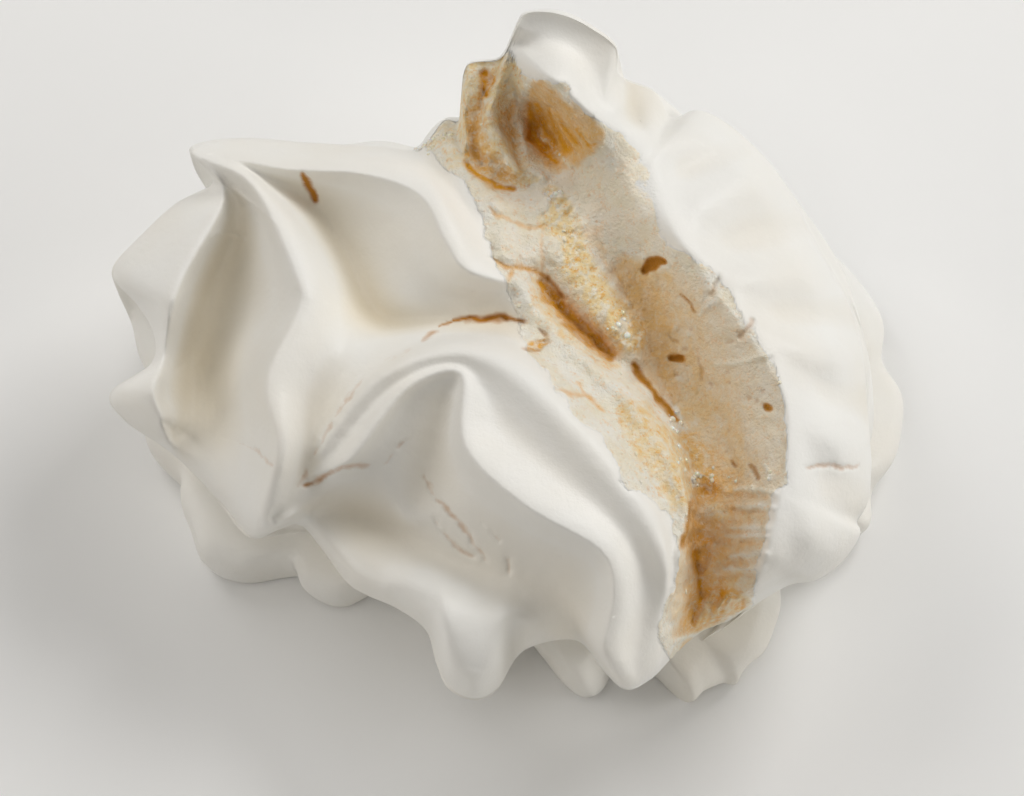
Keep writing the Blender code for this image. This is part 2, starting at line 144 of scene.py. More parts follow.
def insideOf(outline):
    # 1 inside a closed outline, on the grid
    inside = np.zeros(gridU.shape, bool)
    for (x0, y0), (x1, y1) in zip(outline, np.roll(outline, -1, axis=0)):
        if y0 == y1:
            continue
        hit = ((gridV >= y0) != (gridV >= y1)) & (gridU < x0 + (gridV - y0) * (x1 - x0) / (y1 - y0))
        inside ^= hit
    return inside.astype(float)


def windowOf(low, high):
    # the rows and columns of the grid between two corners
    step, half = body["gridStep"], body["gridHalf"]
    j0, i0 = [max(0, int((x + half) / step)) for x in low]
    j1, i1 = [max(1, int((x + half) / step) + 2) for x in high]
    return slice(i0, i1), slice(j0, j1)


def trace(lines, extras=0, reach=26.0, soft=0.03):
    # smooth distance to a set of lines, and their values averaged by nearness:
    # each straight piece counts by the inverse fourth power of its distance, summed along its length
    sideBlend = 0.15
    total = np.full(gridU.shape, 1e-7)
    means = [np.zeros(gridU.shape) for _ in range(2 + extras)]
    for line in lines:
        path = spline(line["points"])
        for a, b in zip(path[:-1], path[1:]):
            w = windowOf(np.minimum(a[:2], b[:2]) - reach, np.maximum(a[:2], b[:2]) + reach)
            run = b[:2] - a[:2]
            length = math.hypot(*run)
            run = run / length
            du, dv = gridU[w] - a[0], gridV[w] - a[1]
            t, n = du * run[0] + dv * run[1], run[0] * dv - run[1] * du
            d, rest = np.sqrt(n * n + soft * soft), length - t
            k = (t / (d * d + t * t) + rest / (d * d + rest * rest)) / (2 * d * d)
            k = np.maximum(k + (np.arctan(t / d) + np.arctan(rest / d)) / (2 * d ** 3), 0)
            lift = a[2] + (b[2] - a[2]) * np.clip(t / length, 0, 1)
            total[w] += k
            means[0][w] += k * lift
            means[1][w] += k * np.clip(n / sideBlend, -1, 1) * line.get("steepSide", 0)
            for e in range(extras):
                means[2 + e][w] += k * line["extra"][e]
    distance = np.minimum((math.pi / 2 / total) ** (1 / 3), reach)
    return distance, [m / total for m in means]


# the rim of the upper side: across and along on the slanted plane, and real height
rim = [(-43.2, 27.3, 40), (-40.2, 23.2, 36), (-45.5, 20.3, 34), (-51.2, 14.8, 32), (-53.8, 10.5, 31),
       (-50.6, 6.6, 29), (-48.2, 2.5, 28), (-48.6, -1.5, 27), (-53.8, -5.5, 27), (-51.8, -9.2, 25),
       (-46, -13.4, 24), (-39, -20.3, 22), (-34.7, -25, 21), (-31.2, -24, 21), (-28.3, -23.3, 21.5),
       (-25.3, -26.3, 21), (-21, -31.6, 20), (-15, -34.5, 20), (-11, -37.4, 20), (-9.6, -41.5, 20),
       (-8, -44.8, 20), (-4.5, -46.3, 20), (-1.4, -44.8, 20), (1, -41, 20), (3.5, -39.4, 20),
       (7.5, -38.6, 20.5), (10, -39.2, 21), (12.6, -42.4, 21), (15.6, -44.9, 21), (19, -43.6, 20),
       (22, -41, 18), (26, -38.1, 14), (30, -36.2, 13), (34, -33.8, 14), (38, -31.4, 18),
       (41.5, -30.7, 20), (45, -28.2, 21), (47.4, -24.6, 22), (47, -22.8, 22), (48.8, -19.5, 22.5),
       (48.9, -11, 24), (48.2, 0, 25), (46.3, 7, 26), (43, 13, 27), (38, 23, 29), (34.5, 27.5, 31),
       (30, 31.5, 32), (26, 33.3, 33), (22.4, 32, 34), (20, 35.6, 37), (15, 37.6, 41), (14.5, 41.0, 43),
       (11.4, 43.4, 44.5), (8.3, 45.0, 45.3), (5, 45.8, 45.3), (2.0, 45.4, 45.3), (0.6, 42.8, 44.5),
       (-1.2, 39.8, 43.5), (-5.6, 39.2, 42), (-6.5, 35, 38), (-6.9, 31.9, 34), (-9, 31.9, 33),
       (-12.5, 28, 32), (-18, 28.3, 32), (-27, 28.6, 34), (-36.8, 29, 37)]
# seen from above, the widest lines of the upper part and of the lower layer
upperPlan = [(-50, 5), (-46, -2), (-38.5, -10.5), (-33.5, -15), (-27, -15.5), (-21, -23), (-15, -26.5),
             (-9, -30.5), (-4, -35.5), (1.5, -33), (7, -31.2), (12, -33), (16, -35.8), (21, -33),
             (25.5, -30.5), (30, -28.2), (35, -25), (40, -22.5), (44.5, -19.8), (47.5, -15), (49.3, -7),
             (49, 3), (43.5, 24), (28.5, 39.5), (5, 43), (-14, 40.5), (-35, 32.5), (-48.5, 18.5)]
lowerPlan = [(-50, 4), (-47, -4), (-43.5, -11), (-41.5, -16.3), (-37.5, -18.6), (-33, -18), (-30, -18),
             (-27.5, -20.5), (-23, -22), (-18, -20), (-12, -23.5), (-4, -31), (1.5, -28), (4.5, -29.5),
             (7.5, -33.3), (10.5, -35.4), (14, -34), (17, -31.2), (19.5, -31.6), (24.2, -36.2), (26.5, -34.6),
             (29.5, -33.6), (32, -34), (34, -31), (36, -25.5), (38.5, -19), (43, -16), (47, -12.5),
             (49.6, -10.5), (52.2, -4.5), (54.2, 5), (54.2, 14), (51, 21.5), (46.5, 28), (39, 35), (17, 42.5),
             (-6, 43), (-30, 37.5), (-47, 22)]


def ridge(points, steepSide=0, edge=0.3, power=1.7):
    # steepSide: -1 or 1 where one side falls off at once; edge: how blunt the crest is
    return {"points": points, "steepSide": steepSide, "extra": (edge, power)}


def valley(points):
    return {"points": points}


# crests and floors of the folds: across, along and how far they stand off the dome
ridges = {
    "tipToBack": ridge([(-42.8, 27.4, 0), (-37, 26.3, 2), (-30, 24.8, 3.5), (-20, 24.4, 5.5), (-12, 21.5, 6),
                        (-8.4, 15, 5), (-5.5, 11, 3.5), (2, 8.8, 1)], -1),
    "tipToFront": ridge([(-42.8, 27.2, 0), (-34.5, 22.4, 4), (-28.2, 10, 5.5), (-28, 5.5, 5), (-32, -4, 5),
                         (-30.6, -13, 4.5), (-34.3, -25.5, 1)], -1, 0.4),
    "tipToLeft": ridge([(-41.6, 25.8, 0), (-38.7, 20.5, 2.5), (-44.3, 9, 4), (-47.5, -4, 3.5),
                        (-46.5, -9, 2)], 1, 0.3, 2.6),
    "archEdge": ridge([(-25, -16.2, -1), (-20.8, -14.3, 2), (-13.5, -5, 5.5), (-6.3, -3, 6.4),
                       (-5.7, -12.5, 6.4), (2, -20, 6.8), (12, -26, 7), (13.8, -32, 6.5), (12.4, -40, 5),
                       (15.5, -44.7, 3)], -1, 0.25, 2.2),
    "archBack": ridge([(-24.8, -13, 0), (-16.5, -3.2, 5.5), (-5, -0.2, 7.2), (6, -7.5, 8), (20, -26, 6.5),
                       (18.5, -43, 1.5)], 0, 3.0),
    "frontEdge": ridge([(-31, -22.4, 0), (-28.2, -22.9, 1.5), (-25.3, -26, 2), (-21, -31.2, 2),
                        (-15, -34, 1.5), (-11.4, -37, 1)], 1, 0.3),
    "frontLobe": ridge([(-16, -32.6, 0.5), (-8.5, -36.5, 2.5), (-4.5, -46, 1)], 0, 4.0),
    "bandEdge": ridge([(1.5, 41.5, 7), (4.5, 38, 12), (8.5, 34.3, 12.5), (17, 26.5, 6.5), (24, 13.5, 6.5),
                       (35.5, -3, 6), (37.2, -13, 5.5), (33, -32, 3.5), (30, -35.5, 2)], -1, 0.4, 1.1),
    "tongue": ridge([(5.8, 21, -2.5), (8.2, 13.8, -1.8), (10.8, 9.2, -2), (14, 4.8, -2.4),
                     (16.8, 1.3, -4)], 0, 2.4),
    "nearBank": ridge([(-1, 20, 2), (2.5, 8.5, 1), (17, -6.5, 2), (22.8, -17, 2.5), (22.4, -27, 3.5),
                       (20.6, -37, 2.5), (21.3, -41, 1)], 1, 0.5, 2.6),
    "bridge": ridge([(-5, 37.5, 3), (-1, 28, -1), (3, 22.5, -3)], 0, 1.2),
    "backCorner": ridge([(-9, 29.5, 0.5), (-3, 20, 2)], 0, 1.5),
    "finTop": ridge([(2, 44.5, 9), (6, 45.6, 9.5), (11.5, 42.5, 9), (13.6, 39, 8.5), (13.4, 34, 8)],
                     0, 2.5, 1.2),
}
valleys = {
    "backBowl": valley([(-36.5, 24.6, -0.5), (-28, 20.9, -4.5), (-22, 13.5, -8.5), (-17.5, 5, -10),
                        (-9, 4.2, -7), (1.5, 4.4, -4)]),
    "leftBowl": valley([(-40.2, 24.3, -0.5), (-36.8, 18, -4.5), (-39.5, 9, -8.5), (-41.5, -2, -10.5),
                        (-41, -8.5, -9), (-40, -15, -4.5), (-39.5, -19.5, -2.5)]),
    "seam": valley([(-29.3, -20.5, -2), (-21.8, -6.5, -6), (-12, 1, -6), (1.5, 4.2, -4), (4.5, 1.8, -2.5)]),
    "archFloor": valley([(-8.8, -5.2, 2), (-11.8, -18, -5.5), (-13, -22, -6.5)]),
    "dish": valley([(-27.5, -20.6, -3), (-19, -22.3, -9), (-8.5, -27, -7), (5, -32.5, -3.5), (7.5, -38, -2)]),
    "frontNotch": valley([(1.2, -36.5, -1.5), (1.8, -41, -1)]),
    "crackFloor": valley([(2.6, 33, -10), (5.8, 28.3, -11), (9.5, 22.5, -2.5), (13.5, 12.5, -5),
                          (18.5, 1.3, -9), (24.7, -13, -9), (25.5, -28, -11.5), (22.9, -41, -5)]),
    "darkGap": valley([(1.8, 10.8, -2), (4, 8.9, -6), (9.2, 2.5, -8.5), (13.2, -1.2, -9), (17.5, -3.6, -10)]),
    "underBridge": valley([(-8, 27.5, -2), (0, 22.3, -5)]),
    "bridgeHole": valley([(-3.2, 37.3, -3), (-2.5, 33.5, -3)]),
    "finFold": valley([(16.2, 38, 0), (16.6, 34, 0.5), (17.5, 31, 2.5)]),
}
# where the skin tore: the far edge, the thin sheet of the fin, and the near edge
tornEdge = [(-4, 41), (0.5, 40.6), (3, 37.4), (5.5, 36.5), (8.5, 34.6), (10.3, 32.6), (13, 30.6),
            (16.5, 28), (19, 24.5), (20, 20), (19.5, 16.5), (22.5, 13.8), (27.8, 10.4), (30.5, 6.4),
            (33.4, 2), (34.8, -0.5), (35.7, -4), (36.8, -8), (37.2, -13), (36.8, -17.6), (35.2, -18.6),
            (34.9, -22), (34, -25), (33.4, -28), (32.8, -31), (32.6, -34.2)]
finSheet = [(1, 44.6), (3, 47), (7, 47.2), (12, 44.2), (14.2, 41), (14.2, 36), (14.6, 32.2), (10.5, 33.2),
            (8.5, 34.6), (4.5, 38.3), (1.5, 41.8)]
skinEdge = [(-11.5, 28.8), (-8, 25), (-4.5, 20), (-3, 13), (-0.5, 9), (1.6, 4.5), (2.5, 0), (6.5, -5),
            (12, -11), (14.5, -16), (18.5, -20), (22.4, -24), (22.2, -30), (20.4, -36), (21.3, -41)]
crackMouth, crackTop = [(23, -48), (31, -38)], [(-8, 37)]  # how the crack's outline is closed below and above

# the broken inside
crumbLook = {
    "seed": 11,
    "wobble": 0.9, "wobbleSize": 3.2, "wander": 0.3, "wanderSize": 1.6,  # how edges and strokes waver
    "edgeRough": 0.4, "flakeDepth": 0.22, "flakeSize": 2.6, "strandDepth": 0.7, "skinStep": 0.5,
    "poreCount": 260, "poreSize": (0.12, 0.34), "poreTint": 0.35, "lineDepth": 0.6,
    "mottledMiddle": (16.5, 23.0), "mottledReach": (6.0, 7.5),  # skin and crumb run into each other here
    "peachMiddle": (13.0, 22.0), "peachReach": (9.0, 8.0),
}
mottledPatch = blob(crumbLook["mottledMiddle"], crumbLook["mottledReach"])


def surfaceLift():
    # how far each place stands off the dome, from the nearest crest down to the nearest floor
    near, (crest, side, edge, power) = trace(ridges.values(), 2)
    far, (low, _) = trace(valleys.values(), soft=1.2)
    near = np.sqrt(near ** 2 + edge ** 2) - edge
    x = near / (near + far) * np.clip(1 - soften(insideOf(finSheet), 0.9), 0, 1)
    steep = (0.5 + 0.5 * np.clip(side, -1, 1)) * (1 - 0.8 * mottledPatch)
    shoulder = 0.5 * (1 + np.cos(math.pi * x ** 1.2))
    lift = low + (crest - low) * ((1 - steep) * shoulder + steep * (1 - x) ** power)
    return lift + ruffles()


def ruffles():
    # small waves from the band's edge out to the rim, apart from its upper end
    bearing = np.arctan2(gridV - centreV, gridU - centreU)
    away = np.hypot(gridU - centreU, gridV - centreV)
    edgeLine = spline(ridges["bandEdge"]["points"]) - np.array([centreU, centreV, 0.0])
    edgeLine = edgeLine[np.argsort(np.arctan2(edgeLine[:, 1], edgeLine[:, 0]))]
    inner = np.interp(bearing, np.arctan2(edgeLine[:, 1], edgeLine[:, 0]),
                      np.hypot(edgeLine[:, 0], edgeLine[:, 1]), left=99, right=99)
    wave = np.cos(body["ruffles"] * bearing + 0.1 * away + 0.8 * np.sin(5 * bearing))
    wave = wave * (1 - ease(gridV, 24, 30))
    return ease(away - inner, 1, 6) * body["ruffleDepth"] * wave


def rimRows():
    # by bearing: 0 the rim's radius, 1 its height, 2 and 3 the same with its waves smoothed out
    curve = spline(rim, 10, True)
    bearing = np.arctan2(curve[:, 1] - centreV, curve[:, 0] - centreU)
    order = np.argsort(bearing)
    radius = np.hypot(curve[:, 0] - centreU, curve[:, 1] - centreV)
    steps = np.linspace(-math.pi, math.pi, 721)[:-1]
    reach, spread = 120, 28.0  # of the smoothing, in half degrees
    bell = np.exp(-0.5 * (np.arange(-reach, reach + 1) / spread) ** 2)
    rows = [np.interp(steps, bearing[order], a[order], period=2 * math.pi) for a in (radius, curve[:, 2])]
    soft = [np.convolve(np.concatenate([a[-reach:], a, a[:reach]]), bell / bell.sum(), "valid") for a in rows]
    return lambda angle, k: np.interp(angle, steps, (rows + soft)[k], period=2 * math.pi)


rimAt = rimRows()


def dome(u, v):
    # how far the smooth dome stands off the slanted plane
    away, bearing = np.hypot(u - centreU, v - centreV), np.arctan2(v - centreV, u - centreU)
    radius, height, softRadius, softHeight = [rimAt(bearing, k) for k in range(4)]
    share = np.clip(away / radius, 0, 1)
    blend = ease(share, *body["rimBlend"])
    shift = body["planeShift"]
    middle = (body["domeTop"] - (v + shift) * cosT) / sinT
    low = (height - (centreV + radius * np.sin(bearing) + shift) * cosT) / sinT
    softLow = (softHeight - (centreV + softRadius * np.sin(bearing) + shift) * cosT) / sinT
    low = softLow + (low - softLow) * blend
    share = np.clip(away / softRadius, 0, 1) * (1 - blend) + share * blend
    return low + (middle - low) * (1 - np.clip(share, 0, 1) ** body["domeRound"]) ** body["domePower"]


def planAt(plan, bearing):
    # where rays from the middle of the foot meet a plan
    points = spline(plan, 6, True)
    angles = np.unwrap(np.arctan2(points[:, 1] - footMiddle, points[:, 0] - footMiddle))
    order = np.argsort(angles % (2 * math.pi))
    angles, points = (angles % (2 * math.pi))[order], points[order]
    return [np.interp(bearing, angles, points[:, k], period=2 * math.pi) for k in (0, 1)]


# each stroke is a line of (across, along, half width), its lift, how square it is, and its tints:
# a tint above 0 lays that colour on, and one below 0 takes it off
strokes = [
    # the torn strands under the fin
    ([(-3.8, 37, 2.2), (-2.8, 32, 2.6), (-1, 27, 2.4), (2, 24, 1.7)], 0, 3, {"honey": 0.7, "peach": -1}),
    ([(-10.5, 29, 1.6), (-7.6, 28, 2.0), (-7.5, 25.5, 1.4)], 0.6, 2, {"honey": 0.55}),
    ([(-5.8, 38.6, 0.9), (-6, 35, 0.8), (-6.2, 31.5, 0.9), (-5.5, 28, 0.8)], 1.2, 2, {"honey": 0.35}),
    ([(-1.5, 39.5, 1.2), (-1.8, 36, 1.0), (-3.4, 31, 1.0), (-3, 27, 1.2)], 1.0, 2, {"honey": 0.3}),
    ([(2.5, 36.2, 0.8), (0.8, 33.3, 0.8), (1.6, 31, 0.7), (2.2, 28, 0.7), (3.2, 25.5, 0.8), (4.5, 23.8, 0.6)],
     2.6, 2, {"honey": -0.5, "caramel": -1}),
    ([(-0.6, 39.6, 0.9), (-1.6, 35.5, 1.1), (-2.2, 31, 1.3), (-0.8, 27.4, 1.1), (1, 25, 0.9)], 1.6, 2.5,
     {"honey": 0.3, "caramel": -1}),
    # a brown line down between two strands: painted shadow
    ([(-3.4, 35.6, 0.5), (-4.3, 32, 0.7), (-5.0, 28.3, 0.9), (-3.6, 26, 0.7)], -1.8, 2, {"caramel": 0.6}),
    ([(-3.5, 38, 0.7), (-2.9, 36.8, 0.75), (-3.1, 35.0, 0.35)], -1.8, 4, {"caramel": 1.0}),
    ([(0.6, 34, 0.4), (0.3, 31.5, 0.5), (0.7, 28.6, 0.5), (1.6, 25.4, 0.4)], -1.4, 2, {"caramel": 0.45}),
    # a dark line under the strands: painted shadow
    ([(-6.2, 26, 0.3), (-4.6, 24.6, 0.5), (-2.6, 23.2, 0.6), (-1, 22.4, 0.35), (0.8, 22.3, 0.2)],
     -1.5, 2, {"caramel": 1.0}),
    # a broader brown band along that line: painted shadow
    ([(-4.8, 26.6, 1.2), (-2.4, 24.8, 1.2), (-0.4, 23.8, 0.9)], -0.4, 2, {"caramel": 0.6}),
    ([(2.6, 34, 0.4), (3.2, 31.2, 0.6), (4.4, 28.2, 0.7), (6.6, 25.8, 0.4)], -1.6, 2, {"caramel": 1.0}),
    ([(4.2, 30.2, 0.3), (6.6, 27, 0.35), (8.6, 25.2, 0.3)], 0.8, 2, {"caramel": -0.7, "honey": 0.8}),
    # blocks of crumb beside the strands, and the gaps between them
    ([(-0.6, 20.3, 1.7), (4.2, 20.4, 1.7)], 0.7, 6, {"peach": 0.3, "honey": -1}),
    ([(0, 14.4, 2.2), (3, 14.4, 2.2)], 0.7, 6, {"peach": 0.2, "honey": -1}),
    ([(6.2, 14.8, 1.1), (6.4, 13, 1.0)], 0.6, 4, {"peach": 0.3, "honey": -0.9}),
    ([(-2.4, 19.4, 0.2), (-0.8, 18.0, 0.25), (1.2, 17.5, 0.25), (3.5, 17, 0.25), (5.2, 17.4, 0.15)],
     -0.3, 2, {"caramel": 0.45, "peach": 1}),
    ([(4.4, 17, 0.3), (4.6, 14, 0.3), (4.5, 11.4, 0.3)], -0.3, 2, {"caramel": 0.3, "peach": 1}),
    ([(-2.6, 12.6, 0.2), (-0.3, 11.5, 0.3), (2, 11.3, 0.35), (3.9, 10.9, 0.4), (5.2, 10.1, 0.3)],
     -0.5, 2, {"caramel": 0.7, "toast": 0.25}),
    ([(-0.1, 9.5, 0.3), (0.3, 10.8, 0.3)], -0.3, 2, {"caramel": 0.6}),
    # the dark gap beside the syrupy tongue
    ([(3.6, 9.6, 1.2), (4.9, 6.8, 1.9), (7.6, 3.9, 2.1), (10.4, 1.2, 2.0), (13, -0.8, 1.4),
      (14.9, -1.8, 0.5)], -0.6, 4, {"honey": 0.6, "caramel": 0.15}),
    ([(4.3, 9.6, 0.6), (6.0, 7.2, 1.0), (8.9, 3.9, 1.2), (11.4, 1.5, 1.2), (13.9, -0.5, 0.7)], -0.6, 3,
     {"caramel": 1.0, "toast": 0.35}),
    ([(7.4, 6.4, 0.8), (10, 3.8, 1.8), (12.6, 1.6, 1.9), (14.6, 0.2, 1.2)], 0, 2, {"caramel": 0.55}),
    ([(6.6, 6.2, 0.4), (9.0, 3.5, 0.9), (11.4, 1.3, 1.0), (13.9, -0.6, 0.6)], -0.3, 3, {"toast": 0.7}),
    ([(5.2, 10.2, 0.3), (6.4, 8.8, 0.4), (7.0, 7.4, 0.3)], -0.5, 2, {"toast": 0.9}),
    ([(16.7, -1.4, 0.35), (18, -3.2, 0.55), (19.6, -5.2, 0.4), (21, -7, 0.55), (22.6, -9.2, 0.3)],
     -1.2, 2, {"toast": 0.85, "caramel": 1.0}),
    # ribs, pores and slits of the wall
    ([(27.8, -1.9, 0.35), (31.5, -1.2, 0.4), (35, -0.3, 0.5)], 0.5, 2, {"wall": -0.7}),
    ([(25.7, 4.9, 0.35), (27, 6.2, 0.4), (28.2, 7.3, 0.5)], 0.5, 2, {"wall": -0.7}),
    ([(27, 7.4, 0.4), (28, 9.6, 0.5)], -0.6, 2, {"toast": 0.3}),
    ([(29.3, 1.3, 0.4), (30.2, 1.5, 0.3)], -0.6, 3, {"toast": 0.4}),
    ([(31.2, 2.2, 0.4), (32.4, 4.2, 0.5)], -0.8, 2, {"toast": 0.4}),
    ([(18.2, 11.2, 0.4), (19.5, 12.0, 0.95), (20.9, 12.3, 0.35)], -2.5, 6, {"toast": 1.0, "caramel": 1}),
    ([(22.3, -0.8, 0.45), (23.3, -1, 0.5)], -2.0, 6, {"toast": 1.0, "caramel": 1}),
    ([(22.5, -3, 0.3), (23.1, -3, 0.3)], -0.8, 2, {"toast": 0.5}),
    ([(23.0, 7.6, 0.2), (24.3, 6.7, 0.25), (25.3, 5.2, 0.2)], -0.8, 3, {"toast": 0.85}),
    ([(21.8, 2.4, 0.25), (22.8, 1.4, 0.3)], -0.8, 2, {"toast": 0.6}),
    ([(34.4, -7.2, 0.45), (34.8, -7.4, 0.45)], -1.4, 5, {"toast": 0.8, "caramel": 1}),
    ([(30.1, -14.6, 0.3), (30.4, -15.2, 0.3)], -1, 4, {"toast": 0.8}),
    ([(22.4, 3.2, 0.45), (22.5, 3.3, 0.45)], 0.4, 3, {"wall": -0.8}),
    ([(24, 2.4, 0.4), (24.2, 2.3, 0.4)], 0.4, 3, {"wall": -0.8}),
    ([(22.9, -3.3, 0.5), (23, -3.4, 0.5)], 0.3, 3, {"wall": -0.7}),
    ([(27.2, -4.4, 0.25), (27.3, -4.5, 0.25)], -0.5, 3, {"toast": 0.5}),
    ([(32.2, -15, 0.2), (33, -16.6, 0.3)], -0.6, 3, {"toast": 0.7}),
    ([(33.8, -15, 0.2), (34.6, -16.6, 0.25)], 0.6, 3, {"wall": -1}),
    ([(25.6, -0.9, 0.25), (25.9, -2.1, 0.25), (25.9, -3.6, 0.28)], -0.6, 2, {"toast": 0.5}),
    ([(2.2, 0.5, 0.4), (3.6, 0.9, 0.6), (4.8, 1.5, 0.4)], -1.6, 4, {"honey": 1, "caramel": 0.7}),
    ([(1.9, 0.6, 0.2), (2.8, 0.1, 0.25), (4.2, 0.6, 0.2)], -0.3, 3, {"toast": 0.6}),
    ([(4, 3.1, 0.25), (4.8, 2.3, 0.3)], -0.6, 2, {"toast": 0.7}),
    ([(7, -4.9, 0.25), (8.5, -5.9, 0.35), (10, -5.7, 0.25)], -0.3, 2, {"caramel": 0.6}),
    ([(8.9, -4.2, 0.15), (10.5, -5.7, 0.25), (12.6, -7.8, 0.25)], -0.3, 2, {"caramel": 0.6}),
    # the caramel low in the crack
    ([(23.6, -11.5, 1.2), (25.5, -15.5, 2.4), (26, -18, 2.0)], -0.4, 3, {"caramel": 0.35, "honey": 0.8}),
    ([(24.2, -20, 0.4), (23.7, -23, 0.4), (23.2, -25.5, 0.5)], -1.0, 2, {"toast": 0.6, "caramel": 0.9}),
    ([(27, -18.8, 1.4), (26.5, -22, 1.8), (25.8, -25.3, 2.0), (25.2, -28, 1.6), (25.8, -31, 1.4),
      (25.5, -34, 1.3), (23.2, -37.3, 1.2)], -0.5, 3, {"caramel": 0.42}),
    ([(25.1, -27, 0.7), (25.4, -29.4, 0.6)], -0.9, 2, {"caramel": 1.0, "toast": 0.5}),
    ([(25.6, -30.5, 0.5), (26, -33, 0.5), (25, -36, 0.4)], -0.4, 2, {"caramel": 1.0}),
    ([(26.2, -18.6, 0.9), (27, -18.8, 0.7)], -0.5, 2, {"caramel": 1.0, "toast": 0.25}),
    ([(25.6, -24.6, 0.8), (27, -24.9, 0.8)], -0.3, 2, {"caramel": 0.75}),
    ([(27, -21.2, 1.5), (28.6, -21.8, 1.3)], 0.8, 2, {"caramel": -0.8, "honey": 0.8}),
    ([(22.6, -26.5, 1.0), (22.4, -31, 1.1), (22.2, -35.5, 1.0)], 0.8, 3, {"wall": 0.6, "caramel": -0.6}),
    ([(27, -32.5, 1.2), (29.5, -33, 1.3), (31.3, -34, 0.9)], -0.5, 3, {"caramel": 0.95}),
    ([(22.2, -38.6, 0.5), (26, -38, 0.5), (30, -36.1, 0.5), (33, -34.7, 0.5), (36.8, -32.4, 0.5)],
     0.8, 2, {"caramel": -1, "wall": -1}),
    # three pale raised spots where the syrup glints, with every tint taken off: painted highlights
    ([(24.6, -16.8, 0.35), (24.7, -17.9, 0.35)], 0.5, 4, {"caramel": -1, "wall": -1, "honey": -1}),
    ([(25.7, -16.3, 0.3), (26.2, -16.6, 0.25)], 0.5, 4, {"caramel": -1, "wall": -1, "honey": -1}),
    ([(6.2, 21.5, 0.35), (6.9, 21.4, 0.35)], 0.5, 4, {"caramel": -1, "wall": -1, "honey": -1}),
    # the baked line across the middle, and the peeled tan hole by the back fold
    ([(-9.4, 3.6, 0.15), (-6.4, 4.4, 0.3), (-3.4, 4.5, 0.42), (-1.4, 4.8, 0.3), (1.6, 4.2, 0.3)],
     -0.4, 2, {"toast": 1}),
    ([(-28, 24, 0.35), (-27, 22.4, 0.7), (-26.3, 20.6, 0.4)], -1.0, 3, {"toast": 1.0}),
    # the step in the left bowl, and the slit in the outer band
    ([(-40.2, 15.8, 0.35), (-38, 16.2, 0.4), (-36, 15.4, 0.35)], 0.5, 2, {}),
    ([(39.6, -15.3, 0.2), (42, -15.2, 0.32), (44.6, -15.2, 0.36), (46.8, -15.3, 0.3)],
     -0.8, 2, {"toast": 0.5}),
]
for k, v in enumerate((-18.3, -20.3, -23.2, -24.6, -27.2, -28.9)):  # ledges down the lower wall
    left = 30.6 + 1.9 * math.sin(v * 3.1)
    right = 35.2 + (v + 18) * 0.14
    ledge = [(left, v, 0.25), (left + 2.2, v + 0.3 * math.sin(5 * v), 0.45), (right, v - 0.5 + 0.2 * k, 0.5)]
    strokes.append((ledge, 0.8, 2, {"wall": -1, "caramel": -1, "honey": -1}))
    # a faint caramel line under each ledge: partly the brown crumb between the ledges, partly painted shade
    # under them
    strokes.append(([(left - 1.6, v - 0.9, 0.3), (right - 1, v - 1.1, 0.35)], -0.45, 2, {"caramel": 0.22}))
for k in range(8):  # streaks down the back of the cave
    u, v = 3.4 + 0.95 * k, 34.6 - 0.62 * k
    streak = [(u, v - 0.6, 0.2), (u + 1.6, v - 4.2 + 0.2 * k, 0.3), (u + 2.6, v - 7.4 + 0.75 * k, 0.2)]
    rise, amount = ((-0.3, 1.0), (0.35, -0.35))[k % 2]
    strokes.append((streak, rise, 2, {"caramel": amount}))
for k in range(9):  # fibres that fan out at the foot of the crack
    u, low = 26.4 + 0.62 * k, -37.0 + 0.27 * k + 0.9 * math.sin(2.7 * k)
    fibre = [(u + 1.0, -32.2 - 0.1 * k - 0.5 * math.sin(4.1 * k), 0.16), (u + 0.1 * (k - 4), low + 1.8, 0.26),
             (u + 0.22 * (k - 4), low, 0.14)]
    strokes.append((fibre, 0.5, 2, {"caramel": -0.85, "honey": 0.7}))
